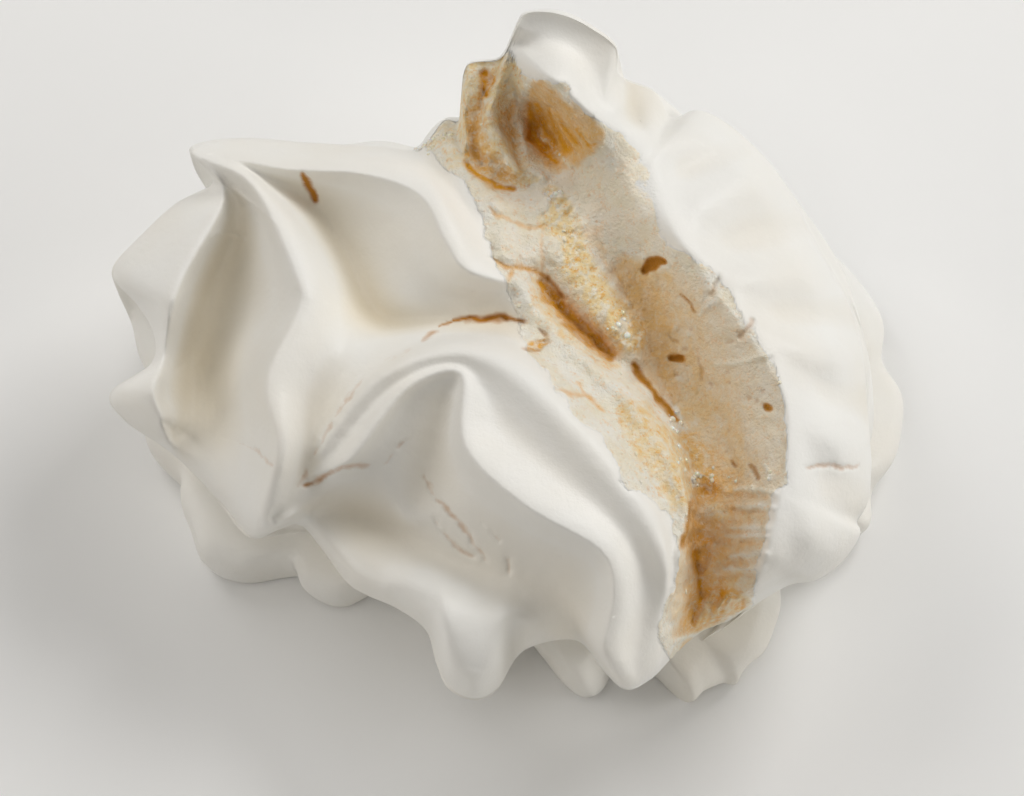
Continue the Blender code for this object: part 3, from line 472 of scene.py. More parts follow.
# each zone is a broad patch: its outline, blur, lift and tints
zones = [
    # inside the cave under the fin, darker to its left
    ([(2.2, 36.8), (4.5, 36.6), (8, 33.6), (11, 31), (13.5, 29.5), (12, 26.6), (9, 24.8), (6, 24.2),
      (4, 25.6), (2.6, 29), (1.6, 33)], 0.9, 5.0, {"wall": 1.0, "caramel": 0.36, "peach": -1, "honey": -1}),
    ([(1.8, 34.4), (5, 33.2), (9, 30.8), (10.6, 28.6), (8.8, 26.4), (6.4, 25.2), (4.4, 26.2), (3, 28),
      (2, 31.6)], 1.6, 0, {"caramel": 0.85}),
    ([(1.2, 33.2), (4.6, 32), (7.2, 29.6), (6.6, 27), (5, 26), (3.4, 28), (2, 30)], 1.1, 0, {"caramel": 1.0}),
    ([(1.2, 32.8), (3.6, 31.6), (4.4, 29), (3.4, 28.4), (2.2, 30.4)], 0.6, 0, {"toast": 0.6}),
    # strands and the corner beside them
    ([(-6.6, 39.4), (-1, 40.6), (2.4, 38.6), (2.6, 36.4), (1.2, 33), (2.6, 28), (5, 23.4), (2, 22.4),
      (-3, 24), (-6.4, 26.6), (-7.4, 30.5)], 0.6, 0.8, {"honey": 0.75, "peach": -1, "wall": -1}),
    ([(-6.4, 34), (-0.6, 34.6), (1.8, 31), (1.6, 26), (4, 23), (-2, 23.4), (-5.6, 26.4)],
     1.2, 0.6, {"caramel": 0.4}),
    ([(-10.6, 31.4), (-7.4, 32.6), (-6.4, 28), (-4.6, 23.6), (-9.6, 26.4)], 0.8, 0, {"honey": 0.5}),
    # faint yellow patch on the far lip
    ([(18, 19), (22, 21), (27.5, 18), (28.4, 14), (23, 13.4), (19, 15.4)], 1.2, 0, {"honey": 0.16}),
    # warm crumb low on the near bank, and the wall's foot
    ([(12, -4), (19, -7), (24.8, -13), (24.8, -20), (22.4, -25), (21.4, -21), (17.5, -15)], 1.6, 0,
     {"honey": 0.75, "caramel": 0.16}),
    ([(20, -8), (25, -12), (30, -14), (31.6, -18.4), (29.4, -24), (29, -30), (33, -34.4), (27.5, -38),
      (22, -39), (23.4, -28), (24, -18)], 1.6, 0.8, {"caramel": 0.26, "wall": 0.9, "honey": 0.3}),
    ([(25, -15), (29, -16), (29.4, -19), (27, -22), (27.6, -28), (26.6, -32), (32, -34), (27, -37),
      (23, -38.4), (24.4, -30), (23.4, -24), (24.6, -19)], 1.2, 1.4, {"caramel": 0.62}),
    ([(13, 12), (17, 13), (22, 4), (23.5, -6), (21.5, -10), (17, -2), (16, 4)], 1.6, 0, {"caramel": 0.32}),
    ([(5.6, 24), (13, 26), (19, 22), (17, 14), (12.6, 10), (9, 17), (6, 20)], 1.6, 1.0, {"wall": -0.9}),
    ([(9.5, 18), (11.5, 18), (14, 12), (17.4, 9.4), (18, 4), (15.6, 6), (12.6, 11)],
     1.0, 0, {"caramel": 0.35}),
]
# where syrup dried in glossy beads: across, along, radius, how crowded
beadSpots = [(6.5, 21.4, 0.8, 1.0), (24.7, -17.3, 0.7, 1.0), (25.9, -16.4, 0.7, 0.9),
             (27.4, -16.8, 1.3, 0.4), (-11.6, 28.3, 0.9, 0.9), (-9.4, 29.6, 1.1, 0.35),
             (22.6, -9.4, 0.8, 0.5), (23.4, -12.4, 1.3, 0.35), (10, 11, 1.3, 0.16), (14.6, 4, 1.4, 0.2),
             (32.6, -15.9, 1.2, 0.25), (34.4, -15.8, 0.6, 0.5)]
# thin baked lines in the skin: (across, along, strength)
bakedLines = [
    [(-28, -18, 0.4), (-25, -12, 0.3), (-21.5, -6.3, 0.4), (-18, -2.4, 0.15), (-13, 0.6, 0.3),
     (-8.3, 3.6, 0.9), (-3, 4.6, 1), (1.8, 4.1, 0.8)],
    [(-27, -17.6, 0.9), (-22, -15.3, 0.5), (-17.5, -15, 0.6), (-15, -13, 0.4), (-13.2, -11.6, 0.3)],
    [(-11.3, -16.2, 0.3), (-9.5, -19.5, 0.5), (-6.5, -22.6, 0.4), (-4.4, -26, 0.4), (-2.8, -28, 0.3)],
    [(-10.3, -22, 0.2), (-7, -25.8, 0.35), (-4.5, -27.2, 0.3)], [(-3.2, -22.5, 0.2), (-1.2, -25, 0.25)],
    [(-0.2, -26.8, 0.3), (0.1, -29.5, 0.25)], [(-38.5, -11.5, 0.1), (-34, -13, 0.25), (-31.5, -14.8, 0.35)],
]


def brush(points, square, wander):
    # how strongly a stroke covers each place of its own small window, 0 to 1
    path = spline(points, 4)
    pad = 3 * path[:, 2].max() + 1
    w = windowOf(path[:, :2].min(axis=0) - pad, path[:, :2].max(axis=0) + pad)
    u, v = gridU[w] + wander[0][w], gridV[w] + wander[1][w]
    best = np.full(u.shape, 99.0)
    for a, b in zip(path[:-1], path[1:]):
        run = b[:2] - a[:2]
        t = np.clip(((u - a[0]) * run[0] + (v - a[1]) * run[1]) / max(run @ run, 1e-9), 0, 1)
        d = np.hypot(u - a[0] - t * run[0], v - a[1] - t * run[1]) / (a[2] + (b[2] - a[2]) * t)
        best = np.minimum(best, d)
    return w, np.exp(-best ** square)


def tintMaps(maps, w, cover, tints):
    for name, amount in tints.items():
        if amount > 0:
            maps[name][w] = np.maximum(maps[name][w], amount * cover)
        else:
            maps[name][w] *= 1 + amount * cover


def crackCover(wobble):
    # 1 where the skin is gone; its edge wavers, and melts away in the mottled patch
    outline = np.vstack([spline(skinEdge), crackMouth, spline(tornEdge)[::-1], crackTop])
    cover = readMap(soften(insideOf(outline), 0.25), gridU + wobble[0], gridV + wobble[1])
    return cover + (soften(cover, 2.2) - cover) * mottledPatch


def wallCover(wobble, mottled):
    # the far wall, from the crack's floor to the band; weaker at its top and away from the floor
    floorLine, band = [spline(line["points"])[:, :2] for line in (valleys["crackFloor"], ridges["bandEdge"])]
    wall = insideOf(np.vstack([floorLine, band[::-1]]))
    wall = ease(readMap(wall, gridU + wobble[0] * 0.6, gridV + wobble[1] * 0.6), 0.3, 0.7)
    wall *= ease(14.5 - 0.4 * (gridU - 15) + 0.8 * mottled - gridV, -0.5, 1.5)
    fromFloor = trace([valleys["crackFloor"]], reach=40)[0]
    wall *= 1 - 0.5 * ease(fromFloor + 1.5 * mottled, 4, 13)
    return wall, fromFloor


def honeyCover():
    # sticky crumb along the tongue and low on the near bank
    tongue = np.exp(-(trace([ridges["tongue"]])[0] / 2.8) ** 4)
    lowBank = np.exp(-((gridU - 20 + (gridV + 16) * 0.3) / 4) ** 2 - ((gridV + 13) / 9) ** 2)
    return np.maximum(tongue, 0.5 * lowBank * (0.6 + 0.6 * gridSpeckle(2.2, crumbLook["seed"] + 5, 3)))


def addPores(maps, fine):
    crumb, count, (small, large) = maps["crumb"], crumbLook["poreCount"], crumbLook["poreSize"]
    rng = np.random.default_rng(crumbLook["seed"])
    still = [np.zeros(gridU.shape)] * 2
    places = zip(rng.uniform(-6, 38, count), rng.uniform(-36, 30, count), rng.uniform(small, large, count))
    for u, v, r in places:
        w, hole = brush([(u, v, r), (u + rng.uniform(-0.3, 0.3), v + rng.uniform(-0.2, 0.2), r)], 4, still)
        fine[w] -= max(0, r - small) * hole * crumb[w]
        tintMaps(maps, w, hole * crumb[w], {"toast": crumbLook["poreTint"]})


def addZones(maps, fine, wander):
    for outline, blur, rise, tints in zones:
        cover = soften(insideOf(outline), blur)
        cover = ease(readMap(cover, gridU + wander[0] * 2, gridV + wander[1] * 2), 0.15, 0.85)
        fine += rise * soften(cover, 1.5)
        tintMaps(maps, slice(None), cover, tints)


def addStrokes(maps, fine, wander):
    for points, rise, square, tints in strokes:
        w, cover = brush(points, square, wander)
        steepest = 1.5 * np.mean([p[2] for p in points])  # a thin stroke can't be deep
        fine[w] += np.clip(rise, -steepest, steepest) * cover
        tintMaps(maps, w, cover, tints)
    for u, v, r, amount in beadSpots:
        w, cover = brush([(u, v, r), (u + 0.1, v, r)], 2, wander)
        tintMaps(maps, w, cover, {"beadZone": amount})


def addBakedLines(maps, fine, wander):
    for k, line in enumerate(bakedLines):
        w, cover = brush([(u, v, 0.3 + 0.15 * s) for u, v, s in line], 2, wander)
        strength = trace([{"points": line}], reach=7)[1][0]
        patchy = np.clip(0.75 + 0.9 * gridSpeckle(1.7, 90 + k, 2), 0, 1)
        fine[w] -= crumbLook["lineDepth"] * cover * np.minimum(1, strength[w] + 0.3) * patchy[w]
        maps["toast"][w] = np.maximum(maps["toast"][w], (cover * strength[w] * patchy[w]))


def roughLift(lift, crumb, wall):
    # crests in the crumb waver, and the near bank is smoother than the far wall
    seed = crumbLook["seed"]
    zone = soften(crumb, 0.8) * crumbLook["edgeRough"] * (1 - 0.8 * ease(gridU + 0.5 * gridV, 14, 20))
    shiftU, shiftV = [gridSpeckle(2.0, seed + k, 4) * zone for k in (20, 30)]
    lift = readMap(lift, gridU + shiftU, gridV + shiftV)
    bank = soften(crumb, 0.8) * (1 - wall) * ease(12 - gridU + 0.2 * gridV, -16, -10)
    return soften(lift + (soften(lift, 0.9) - lift) * np.clip(bank, 0, 1), 0.15)


def fineMaps():
    # lift: the folds; fine: the small relief on them; the rest are paint, 0 to 1
    seed = crumbLook["seed"]
    wobble = [gridSpeckle(crumbLook["wobbleSize"], seed + k, 4) * crumbLook["wobble"] for k in (0, 40)]
    wander = [gridSpeckle(crumbLook["wanderSize"], seed + k, 4) * crumbLook["wander"] for k in (50, 60)]
    mottled = gridSpeckle(2.4, seed + 3, 4)
    crack = crackCover(wobble)
    wall, fromFloor = wallCover(wobble, mottled)
    peachZone = blob(crumbLook["peachMiddle"], crumbLook["peachReach"])
    crumb = ease(crack, 0.3, 0.7) * (1 - peachZone * np.clip(0.12 * (gridU - 15) + 0.3 * mottled, 0, 1))
    maps = {"crumb": crumb, "wall": wall.copy(), "peach": peachZone * np.clip(0.6 + 0.7 * mottled, 0, 1),
            "rosy": ease(fromFloor, 3, 12), "honey": honeyCover()}
    for name in ("caramel", "toast", "beadZone"):
        maps[name] = np.zeros(gridU.shape)
    smoothWall = wall * ease(gridV, -17, -13)
    flakes = np.abs(gridSpeckle(crumbLook["flakeSize"], seed + 7, 4))
    fine = -crumbLook["flakeDepth"] * flakes * crumb * (1 - 0.7 * smoothWall)
    strands = np.abs(speckle((gridU + gridV) * 0.16, gridU - gridV, 1.3, seed + 12, 3))
    fine += crumbLook["strandDepth"] * maps["honey"] * (0.4 - strands)
    addPores(maps, fine)
    addZones(maps, fine, wander)
    addStrokes(maps, fine, wander)
    addBakedLines(maps, fine, wander)
    fine -= crumbLook["skinStep"] * soften(ease(crack, 0.35, 0.65), 0.5)
    torn = np.clip(gridSpeckle(3.0, seed + 70, 3) * 2.5 - 0.6, 0, 1)
    dry = 1 - ease(maps["caramel"], 0.1, 0.4)
    maps["crumbZone"] = torn * crumb * (1 - smoothWall) * dry * (0.3 + maps["honey"])
    lift = surfaceLift()
    # painted shade: places lying lower than the land around them get a darker, warmer skin colour
    depth = soften(lift, 4.0) - lift
    maps.update(lift=roughLift(lift, crumb, wall), fine=fine, hollow=np.clip(depth / 5, -1, 1))
    return maps


def alongRows(rows, knots, t, startSlope):
    # a smooth curve through each ray's own row of points, read at t
    last = len(knots) - 1
    k = np.clip(np.searchsorted(knots, t, side="right") - 1, 0, last - 1)
    each = np.arange(len(t))
    p0, p1, p2, p3 = [rows[each, np.clip(k + i, 0, last)] for i in (-1, 0, 1, 2)]
    k0, k1, k2, k3 = [knots[np.clip(k + i, 0, last)][:, None] for i in (-1, 0, 1, 2)]
    m1 = (p2 - p0) / np.maximum(k2 - k0, 1e-6) * (k2 - k1)
    m2 = (p3 - p1) / np.maximum(k3 - k1, 1e-6) * (k2 - k1)
    m1 = np.where((k == 0)[:, None], startSlope, m1)
    f = (t[:, None] - k1) / (k2 - k1)
    return ((2 * f ** 3 - 3 * f ** 2 + 1) * p1 + (f ** 3 - 2 * f ** 2 + f) * m1
            + (3 * f ** 2 - 2 * f ** 3) * p2 + (f ** 3 - f ** 2) * m2)


def placeBall(ball, maps):
    # the ball's upper cap becomes the dome with its folds, and the rest of it the side and the base
    polar = np.arccos(np.clip(ball[:, 2], -1, 1))
    bearing = np.arctan2(ball[:, 1], ball[:, 0])
    cap = math.radians(body["capAngle"])
    radius, wide = rimAt(bearing, 0), rimAt(bearing, 2)
    share = np.sin(np.minimum(polar / cap, 1) * math.pi / 2)
    degrees = np.degrees(bearing)
    flatten = 0.55 * (1 - ease(degrees, 64, 69) * (1 - ease(degrees, 84, 90)))  # the fin keeps its full lift

    def topPoint(s):
        reach = s * (wide + (radius - wide) * ease(s, 0.5, 1.0))
        u, v = centreU + reach * np.cos(bearing), centreV + reach * np.sin(bearing)
        out = dome(u, v) + readMap(maps["lift"], u, v) * (1 - flatten * ease(s, 0.9, 1.0))
        out = out + readMap(maps["fine"], u, v) * (1 - ease(s, 0.97, 1.0))
        return u, v, u[:, None] * across + (v + body["planeShift"])[:, None] * along + out[:, None] * outward

    def row(plan, scale, height):
        flat = [footMiddle + (p - footMiddle) * scale for p in plan]
        return np.stack([*flat, np.broadcast_to(height, bearing.shape)], 1)

    u, v, top = topPoint(share)
    _, _, edge = topPoint(np.ones_like(share))
    upper, lower = planAt(upperPlan, bearing), planAt(lowerPlan, bearing)
    overhang = (np.hypot(edge[:, 0] - footMiddle, edge[:, 1] - footMiddle)
                - np.hypot(upper[0] - footMiddle, upper[1] - footMiddle))
    drop = np.where(edge[:, 2] > 26, 4.0, 2.2) * (1 - 0.75 * ease(overhang, 0.5, 5))  # the lip's thickness
    under = edge - outward * drop[:, None]
    sideHeight = np.minimum(edge[:, 2] - 3, 21)
    # from the rim, 0, to the middle of the base, 1: where, on which plan, at what share of it, how high
    profile = [(0.17, upper, 1, sideHeight), (0.27, upper, 0.985, np.minimum(sideHeight - 1.2, 14.5)),
               (0.34, upper, body["grooveInset"], body["grooveHeight"]), (0.40, lower, 0.955, 9.3),
               (0.50, lower, 1, body["lowerHeight"]), (0.60, lower, 0.985, 2.0), (0.66, lower, 0.955, 0.25),
               (0.70, lower, 0.92, 0), (0.86, lower, 0.5, 0), (1.0, lower, 0, 0)]
    knots = np.array([0, 0.05] + [line[0] for line in profile])
    rows = np.stack([edge, under] + [row(*line[1:]) for line in profile], 1)
    t = np.clip((polar - cap) / (math.pi - cap), 0, 1)
    side = alongRows(rows, knots, t, -outward * 1.5 * drop[:, None])
    points = np.where((polar > cap)[:, None], side, top)
    lobe = body["lobes"] / 2 * bearing + 1.1 * np.sin(2 * bearing + 1) + 0.1 * (points[:, 2] - 5)
    push = 0.8 - body["lobeDepth"] * np.abs(np.cos(lobe)) ** 5 * (0.75 + 0.25 * np.sin(3 * bearing))
    push *= ease(t, 0.33, 0.42) * (1 - ease(t, 0.6, 0.7))
    fold = body["sideFolds"] / 2 * bearing - 0.09 * points[:, 2] + 0.9 * np.sin(3 * bearing + 2)
    depth = body["sideFoldDepth"] * (0.35 + 0.65 * ease(np.sin(bearing), -0.5, 0.3))
    push += depth * (0.4 - np.abs(np.sin(fold)) ** 6) * ease(t, 0, 0.12) * (1 - ease(t, 0.24, 0.34))
    points[:, 0] += np.cos(bearing) * push
    points[:, 1] += np.sin(bearing) * push
    points[:, 2] = np.maximum(points[:, 2], 0)
    onTop = 1 - ease(polar, cap * 0.985, cap)
    return points, u, v, onTop


def newTree(name, inputs):
    # a Geometry Nodes tree with its named inputs
    tree = bpy.data.node_groups.new(name, "GeometryNodeTree")
    tree.interface.new_socket("Geometry", in_out="INPUT", socket_type="NodeSocketGeometry")
    tree.interface.new_socket("Geometry", in_out="OUTPUT", socket_type="NodeSocketGeometry")
    for label, kind, value in inputs:
        socket = tree.interface.new_socket(label, in_out="INPUT", socket_type=kind)
        if value is not None:
            socket.default_value = value
    return tree, tree.nodes.new("NodeGroupInput"), tree.nodes.new("NodeGroupOutput")


def setInput(modifier, label, value):
    for item in modifier.node_group.interface.items_tree:
        if item.item_type == "SOCKET" and item.in_out == "INPUT" and item.name == label:
            modifier[item.identifier] = value


def addNode(tree, kind, values=None, **settings):
    node = tree.nodes.new(kind)
    for key, value in settings.items():
        setattr(node, key, value)
    for key, value in (values or {}).items():
        if isinstance(value, bpy.types.NodeSocket):
            tree.links.new(value, node.inputs[key])
        else:
            node.inputs[key].default_value = value
    return node


def attributeOf(tree, name):
    node = addNode(tree, "GeometryNodeInputNamedAttribute", {"Name": name}, data_type="FLOAT")
    return node.outputs["Attribute"]


def calc(tree, operation, a, b):
    return addNode(tree, "ShaderNodeMath", {0: a, 1: b}, operation=operation).outputs[0]


def times(tree, a, b):
    return calc(tree, "MULTIPLY", a, b)


def plus(tree, a, b):
    return calc(tree, "ADD", a, b)


def scaled(tree, vector, amount):
    return addNode(tree, "ShaderNodeVectorMath", {0: vector, "Scale": amount}, operation="SCALE").outputs[0]


def endTree(tree, geometry, source, target):
    # a real mesh with its material on
    real = addNode(tree, "GeometryNodeRealizeInstances", {"Geometry": geometry})
    finish = addNode(tree, "GeometryNodeSetMaterial", {"Geometry": real.outputs[0],
                                                       "Material": source.outputs["Finish"]})
    tree.links.new(finish.outputs[0], target.inputs[0])


def mixColour(tree, factor, a, b):
    return addNode(tree, "ShaderNodeMix", {0: factor, 6: a, 7: b}, data_type="RGBA").outputs[2]


def newMaterial(name):
    material = bpy.data.materials.new(name)
    material.use_nodes = True
    return material, material.node_tree, material.node_tree.nodes["Principled BSDF"]


def noise(tree, scale, detail, roughness, place):
    node = addNode(tree, "ShaderNodeTexNoise", {"Scale": scale, "Detail": detail, "Roughness": roughness,
                                                "Vector": place})
    return node.outputs["Fac"]


def addBump(tree, shader, look, height):
    bump = addNode(tree, "ShaderNodeBump", {"Strength": look["bumpStrength"], "Distance": look["bumpDepth"],
                                            "Height": height})
    tree.links.new(bump.outputs["Normal"], shader.inputs["Normal"])


def ramp(tree, value, low, high):
    node = addNode(tree, "ShaderNodeMapRange", {"Value": value, "From Min": low, "From Max": high})
    return node.outputs["Result"]


skinLook = {
    # the third skin colour is painted shade for the floors of the folds; it also gives the foot below the
    # crack its warm tone
    "white": (0.88, 0.87, 0.83, 1), "warm": (0.87, 0.84, 0.77, 1), "hollow": (0.76, 0.68, 0.53, 1),
    "cream": (0.95, 0.88, 0.71, 1), "pale": (0.96, 0.93, 0.84, 1), "tan": (0.93, 0.70, 0.39, 1),
    "rose": (0.94, 0.81, 0.62, 1), "peach": (0.96, 0.83, 0.64, 1), "honey": (0.96, 0.77, 0.43, 1),
    "caramel": (0.88, 0.42, 0.02, 1), "toast": (0.50, 0.21, 0.02, 1),
    "roughness": 0.42, "wetter": 0.12, "uneven": 0.18, "shine": 0.28,
    "bumpStrength": 0.9, "bumpDepth": 0.0006,
    # how fine each pattern is, in turns a metre
    "cloudScale": 60, "patchScale": 240, "wallScale": 420, "crumbScale": 700, "honeycombScale": 800,
    # of these, the pale specks are painted glints
    "darkSpeckScale": 800, "pitScale": 900, "glintSpeckScale": 1300, "grainScale": 2400,
}


def bakedMaterial():
    # dry skin with painted shade in the floors of its folds, and cream, tan and caramel crumb where the paint
    # maps say that it is broken, with painted highlights and glints on the syrupy crumb
    material, tree, shader = newMaterial("bakedMeringue")
    look, link = skinLook, tree.links.new
    spot = addNode(tree, "ShaderNodeTexCoord").outputs["Object"]

    def pattern(name, detail, roughness):
        return noise(tree, look[name], detail, roughness, spot)

    def cells(name):
        node = addNode(tree, "ShaderNodeTexVoronoi", {"Scale": look[name], "Vector": spot})
        return node.outputs["Distance"]

    def paint(name):
        return addNode(tree, "ShaderNodeAttribute", attribute_name=name).outputs["Fac"]

    def layer(colour, amount, jagged, low, high, shade):
        mask = ramp(tree, plus(tree, amount, times(tree, jag, jagged)), low, high)
        return mixColour(tree, mask, colour, shade)

    def dust(colour, amount, share, shade):
        return mixColour(tree, times(tree, amount, share), colour, look[shade])

    clouds, fine = pattern("cloudScale", 3, 0.5), pattern("crumbScale", 5, 0.6)
    patch, grain = pattern("patchScale", 4, 0.6), pattern("grainScale", 4, 0.65)
    jag = calc(tree, "SUBTRACT", fine, 0.5)
    caramel, honey = paint("caramel"), paint("honey")
    colour = mixColour(tree, ramp(tree, clouds, 0.35, 0.75), look["white"], look["warm"])
    # painted shade: the folds' floors turn darker and warmer the deeper they lie; the same map gives the foot
    # below the crack its warm tone
    colour = mixColour(tree, ramp(tree, paint("hollow"), 0.05, 1.0), colour, look["hollow"])
    inner = mixColour(tree, ramp(tree, patch, 0.38, 0.62), look["cream"], look["pale"])
    inner = dust(inner, paint("peach"), ramp(tree, patch, 0.3, 0.65), "peach")
    rosy = plus(tree, pattern("wallScale", 5, 0.7), times(tree, paint("rosy"), 0.22))
    wallShade = mixColour(tree, ramp(tree, rosy, 0.42, 0.66), look["tan"], look["rose"])
    inner = layer(inner, paint("wall"), 0.6, 0.1, 0.9, wallShade)
    inner = layer(inner, honey, 0.8, 0.3, 0.85, look["honey"])
    inner = layer(inner, caramel, 0.5, 0.05, 0.85, look["caramel"])
    # honeycomb on the syrupy crumb: its pale cell rims are painted highlights, its caramel middles are the
    # crumb's brown pits
    comb = cells("honeycombScale")
    inner = dust(inner, honey, times(tree, ramp(tree, comb, 0.5, 0.72), 0.6), "pale")
    inner = dust(inner, honey, times(tree, ramp(tree, comb, 0.3, 0.1), 0.5), "caramel")
    # pale specks, which are painted glints, and caramel specks, the crumb's own dark specks, both thicker on
    # the syrupy crumb
    busy = plus(tree, times(tree, honey, 0.45), 0.25)
    inner = dust(inner, ramp(tree, pattern("glintSpeckScale", 4, 0.75), 0.52, 0.62), busy, "pale")
    inner = dust(inner, ramp(tree, pattern("darkSpeckScale", 5, 0.8), 0.46, 0.36), busy, "caramel")
    pits = times(tree, ramp(tree, cells("pitScale"), 0.24, 0.12), ramp(tree, patch, 0.45, 0.62))
    inner = dust(inner, pits, 0.3, "caramel")
    colour = layer(colour, paint("crumb"), 0.8, 0.42, 0.6, inner)
    colour = layer(colour, paint("toast"), 0.5, 0.12, 0.9, look["toast"])
    link(colour, shader.inputs["Base Color"])
    wet = calc(tree, "MAXIMUM", caramel, honey)
    rough = calc(tree, "SUBTRACT", look["roughness"], times(tree, wet, look["wetter"]))
    rough = plus(tree, rough, times(tree, calc(tree, "SUBTRACT", patch, 0.5), look["uneven"]))
    link(rough, shader.inputs["Roughness"])
    shader.inputs["Specular IOR Level"].default_value = look["shine"]
    torn = plus(tree, fine, times(tree, grain, 0.7))
    height = plus(tree, times(tree, torn, plus(tree, 0.09, paint("crumb"))), times(tree, patch, 0.3))
    addBump(tree, shader, look, height)
    return material


bitLook = {
    "driedSyrup": {"colours": ((0.96, 0.92, 0.82, 1), (0.95, 0.80, 0.52, 1)), "scale": 300, "detail": 2,
                   "patchy": 0.5, "roughness": 0.08, "glow": 0.5, "glowReach": (0.0015, 0.0009, 0.0004)},
    "looseCrumb": {"colours": ((0.95, 0.91, 0.80, 1), (0.93, 0.79, 0.55, 1)), "scale": 420, "detail": 4,
                   "patchy": 0.6, "roughness": 0.7, "glow": 0.3, "glowReach": (0.0015, 0.001, 0.0006),
                   "bumpStrength": 0.4, "bumpDepth": 0.0003, "bumpScale": 2500},
}


def bitMaterial(name):
    # crumbs and dried syrup, lit a little from inside
    look = bitLook[name]
    material, tree, shader = newMaterial(name)
    spot = addNode(tree, "ShaderNodeTexCoord").outputs["Object"]
    tint = ramp(tree, noise(tree, look["scale"], look["detail"], look["patchy"], spot), 0.3, 0.7)
    tree.links.new(mixColour(tree, tint, *look["colours"]), shader.inputs["Base Color"])
    shader.inputs["Roughness"].default_value = look["roughness"]
    shader.inputs["Subsurface Weight"].default_value = look["glow"]
    shader.inputs["Subsurface Radius"].default_value = look["glowReach"]
    shader.inputs["Subsurface Scale"].default_value = 1.0
    if "bumpScale" in look:
        addBump(tree, shader, look, noise(tree, look["bumpScale"], 4, 0.6, spot))
    return material


# the torn surface's finest relief: depths in metres, scales in turns a metre
crumbRelief = {
    "Grain Depth": 0.0003, "Grain Scale": 900.0, "Cell Depth": 0.0004, "Cell Scale": 420.0,
    "Skin Depth": 0.0001, "Skin Scale": 190.0,
}


def crumbTree():
    # noise and cells push the surface along its normal, mostly where the crumb shows, and never on the base
    sizes = [(label, "NodeSocketFloat", value) for label, value in crumbRelief.items()]
    tree, source, target = newTree("crumbRelief", sizes + [("Finish", "NodeSocketMaterial", None)])
    pick = source.outputs
    place = addNode(tree, "GeometryNodeInputPosition").outputs[0]
    normal = addNode(tree, "GeometryNodeInputNormal").outputs[0]
    grain = addNode(tree, "ShaderNodeTexNoise", {"Scale": pick["Grain Scale"], "Detail": 3.0,
                                                 "Vector": place}).outputs["Fac"]
    cells = addNode(tree, "ShaderNodeTexVoronoi", {"Scale": pick["Cell Scale"], "Vector": place},
                    feature="F1").outputs["Distance"]
    soft = addNode(tree, "ShaderNodeTexNoise", {"Scale": pick["Skin Scale"], "Detail": 2.0,
                                                "Vector": place}).outputs["Fac"]
    grainPush = times(tree, calc(tree, "SUBTRACT", grain, 0.5), pick["Grain Depth"])
    cellPush = times(tree, calc(tree, "SUBTRACT", 0.4, cells), pick["Cell Depth"])
    skinPush = times(tree, calc(tree, "SUBTRACT", soft, 0.5), pick["Skin Depth"])
    push = plus(tree, times(tree, plus(tree, grainPush, cellPush), attributeOf(tree, "crumb")), skinPush)
    push = times(tree, push, attributeOf(tree, "offBase"))
    move = addNode(tree, "GeometryNodeSetPosition", {"Geometry": pick["Geometry"],
                                                     "Offset": scaled(tree, normal, push)})
    endTree(tree, move.outputs[0], source, target)
    return tree


def toPlainMesh(obj, name):
    depsgraph = bpy.context.evaluated_depsgraph_get()
    mesh = bpy.data.meshes.new_from_object(obj.evaluated_get(depsgraph))
    obj.modifiers.clear()
    old = obj.data
    obj.data = mesh
    bpy.data.meshes.remove(old)
    mesh.name = name
    return mesh


def ballFromCube(mesh):
    # a finely divided cube, blown up to an even ball
    cube = np.empty(len(mesh.vertices) * 3)
    mesh.vertices.foreach_get("co", cube)
    cube = np.tan(cube.reshape(-1, 3) * math.pi / 4)
    return cube / np.linalg.norm(cube, axis=1)[:, None]


def fitToFrame(points):
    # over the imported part's middle, and a little smaller than its box on every side
    play = 0.2
    size, room = points.max(axis=0) - points.min(axis=0), np.array(cadHigh - cadLow) * 1000
    middle = (points.max(axis=0) + points.min(axis=0)) / 2
    points = (points - middle) * np.minimum(1, (room - play) / size) + np.array(cadHigh + cadLow) * 500
    points[:, 2] -= points[:, 2].min()
    return points


def paintMesh(mesh, name, amount):
    layer = mesh.attributes.new(name, "FLOAT", "POINT")
    layer.data.foreach_set("value", amount)


paintNames = ("crumb", "wall", "rosy", "caramel", "honey", "peach", "toast", "hollow", "crumbZone",
              "beadZone")


def makeMeringue():
    bpy.ops.mesh.primitive_cube_add(size=2)
    obj = bpy.context.object
    obj.name = "bakedMeringue"
    finer = obj.modifiers.new("finer", "SUBSURF")
    finer.subdivision_type = "SIMPLE"
    finer.levels = finer.render_levels = body["levels"]
    mesh = toPlainMesh(obj, "bakedMeringue")
    ball = ballFromCube(mesh)
    maps = fineMaps()
    print("maps drawn")
    points, u, v, onTop = placeBall(ball, maps)
    points = fitToFrame(points)
    mesh.vertices.foreach_set("co", (points / 1000).ravel())
    x, y, z = points.T
    foot = ease(x, 18, 24) * (1 - ease(x, 35, 41)) * ease(-y, 18, 28) * (1 - onTop)  # warm below the crack
    for name in paintNames:
        amount = readMap(maps[name], u, v) * onTop
        # the painted-shade map also carries the foot's own warm tone below the crack
        paintMesh(mesh, name, np.maximum(amount, 0.3 * foot) if name == "hollow" else amount)
    paintMesh(mesh, "offBase", ease(z, 0.5, 2))
    mesh.update()
    torn = obj.modifiers.new("crumb relief", "NODES")
    torn.node_group = crumbTree()
    setInput(torn, "Finish", bakedMaterial())
    lighter = obj.modifiers.new("lighter", "DECIMATE")
    lighter.ratio = body["triangles"] / (2 * len(mesh.polygons))
    mesh = toPlainMesh(obj, "bakedMeringue")
    mesh.shade_smooth()
    print("meringue", sum(len(f.vertices) - 2 for f in mesh.polygons), "triangles")
    return obj


meringue = makeMeringue()
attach(meringue, "root")
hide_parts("meringue")

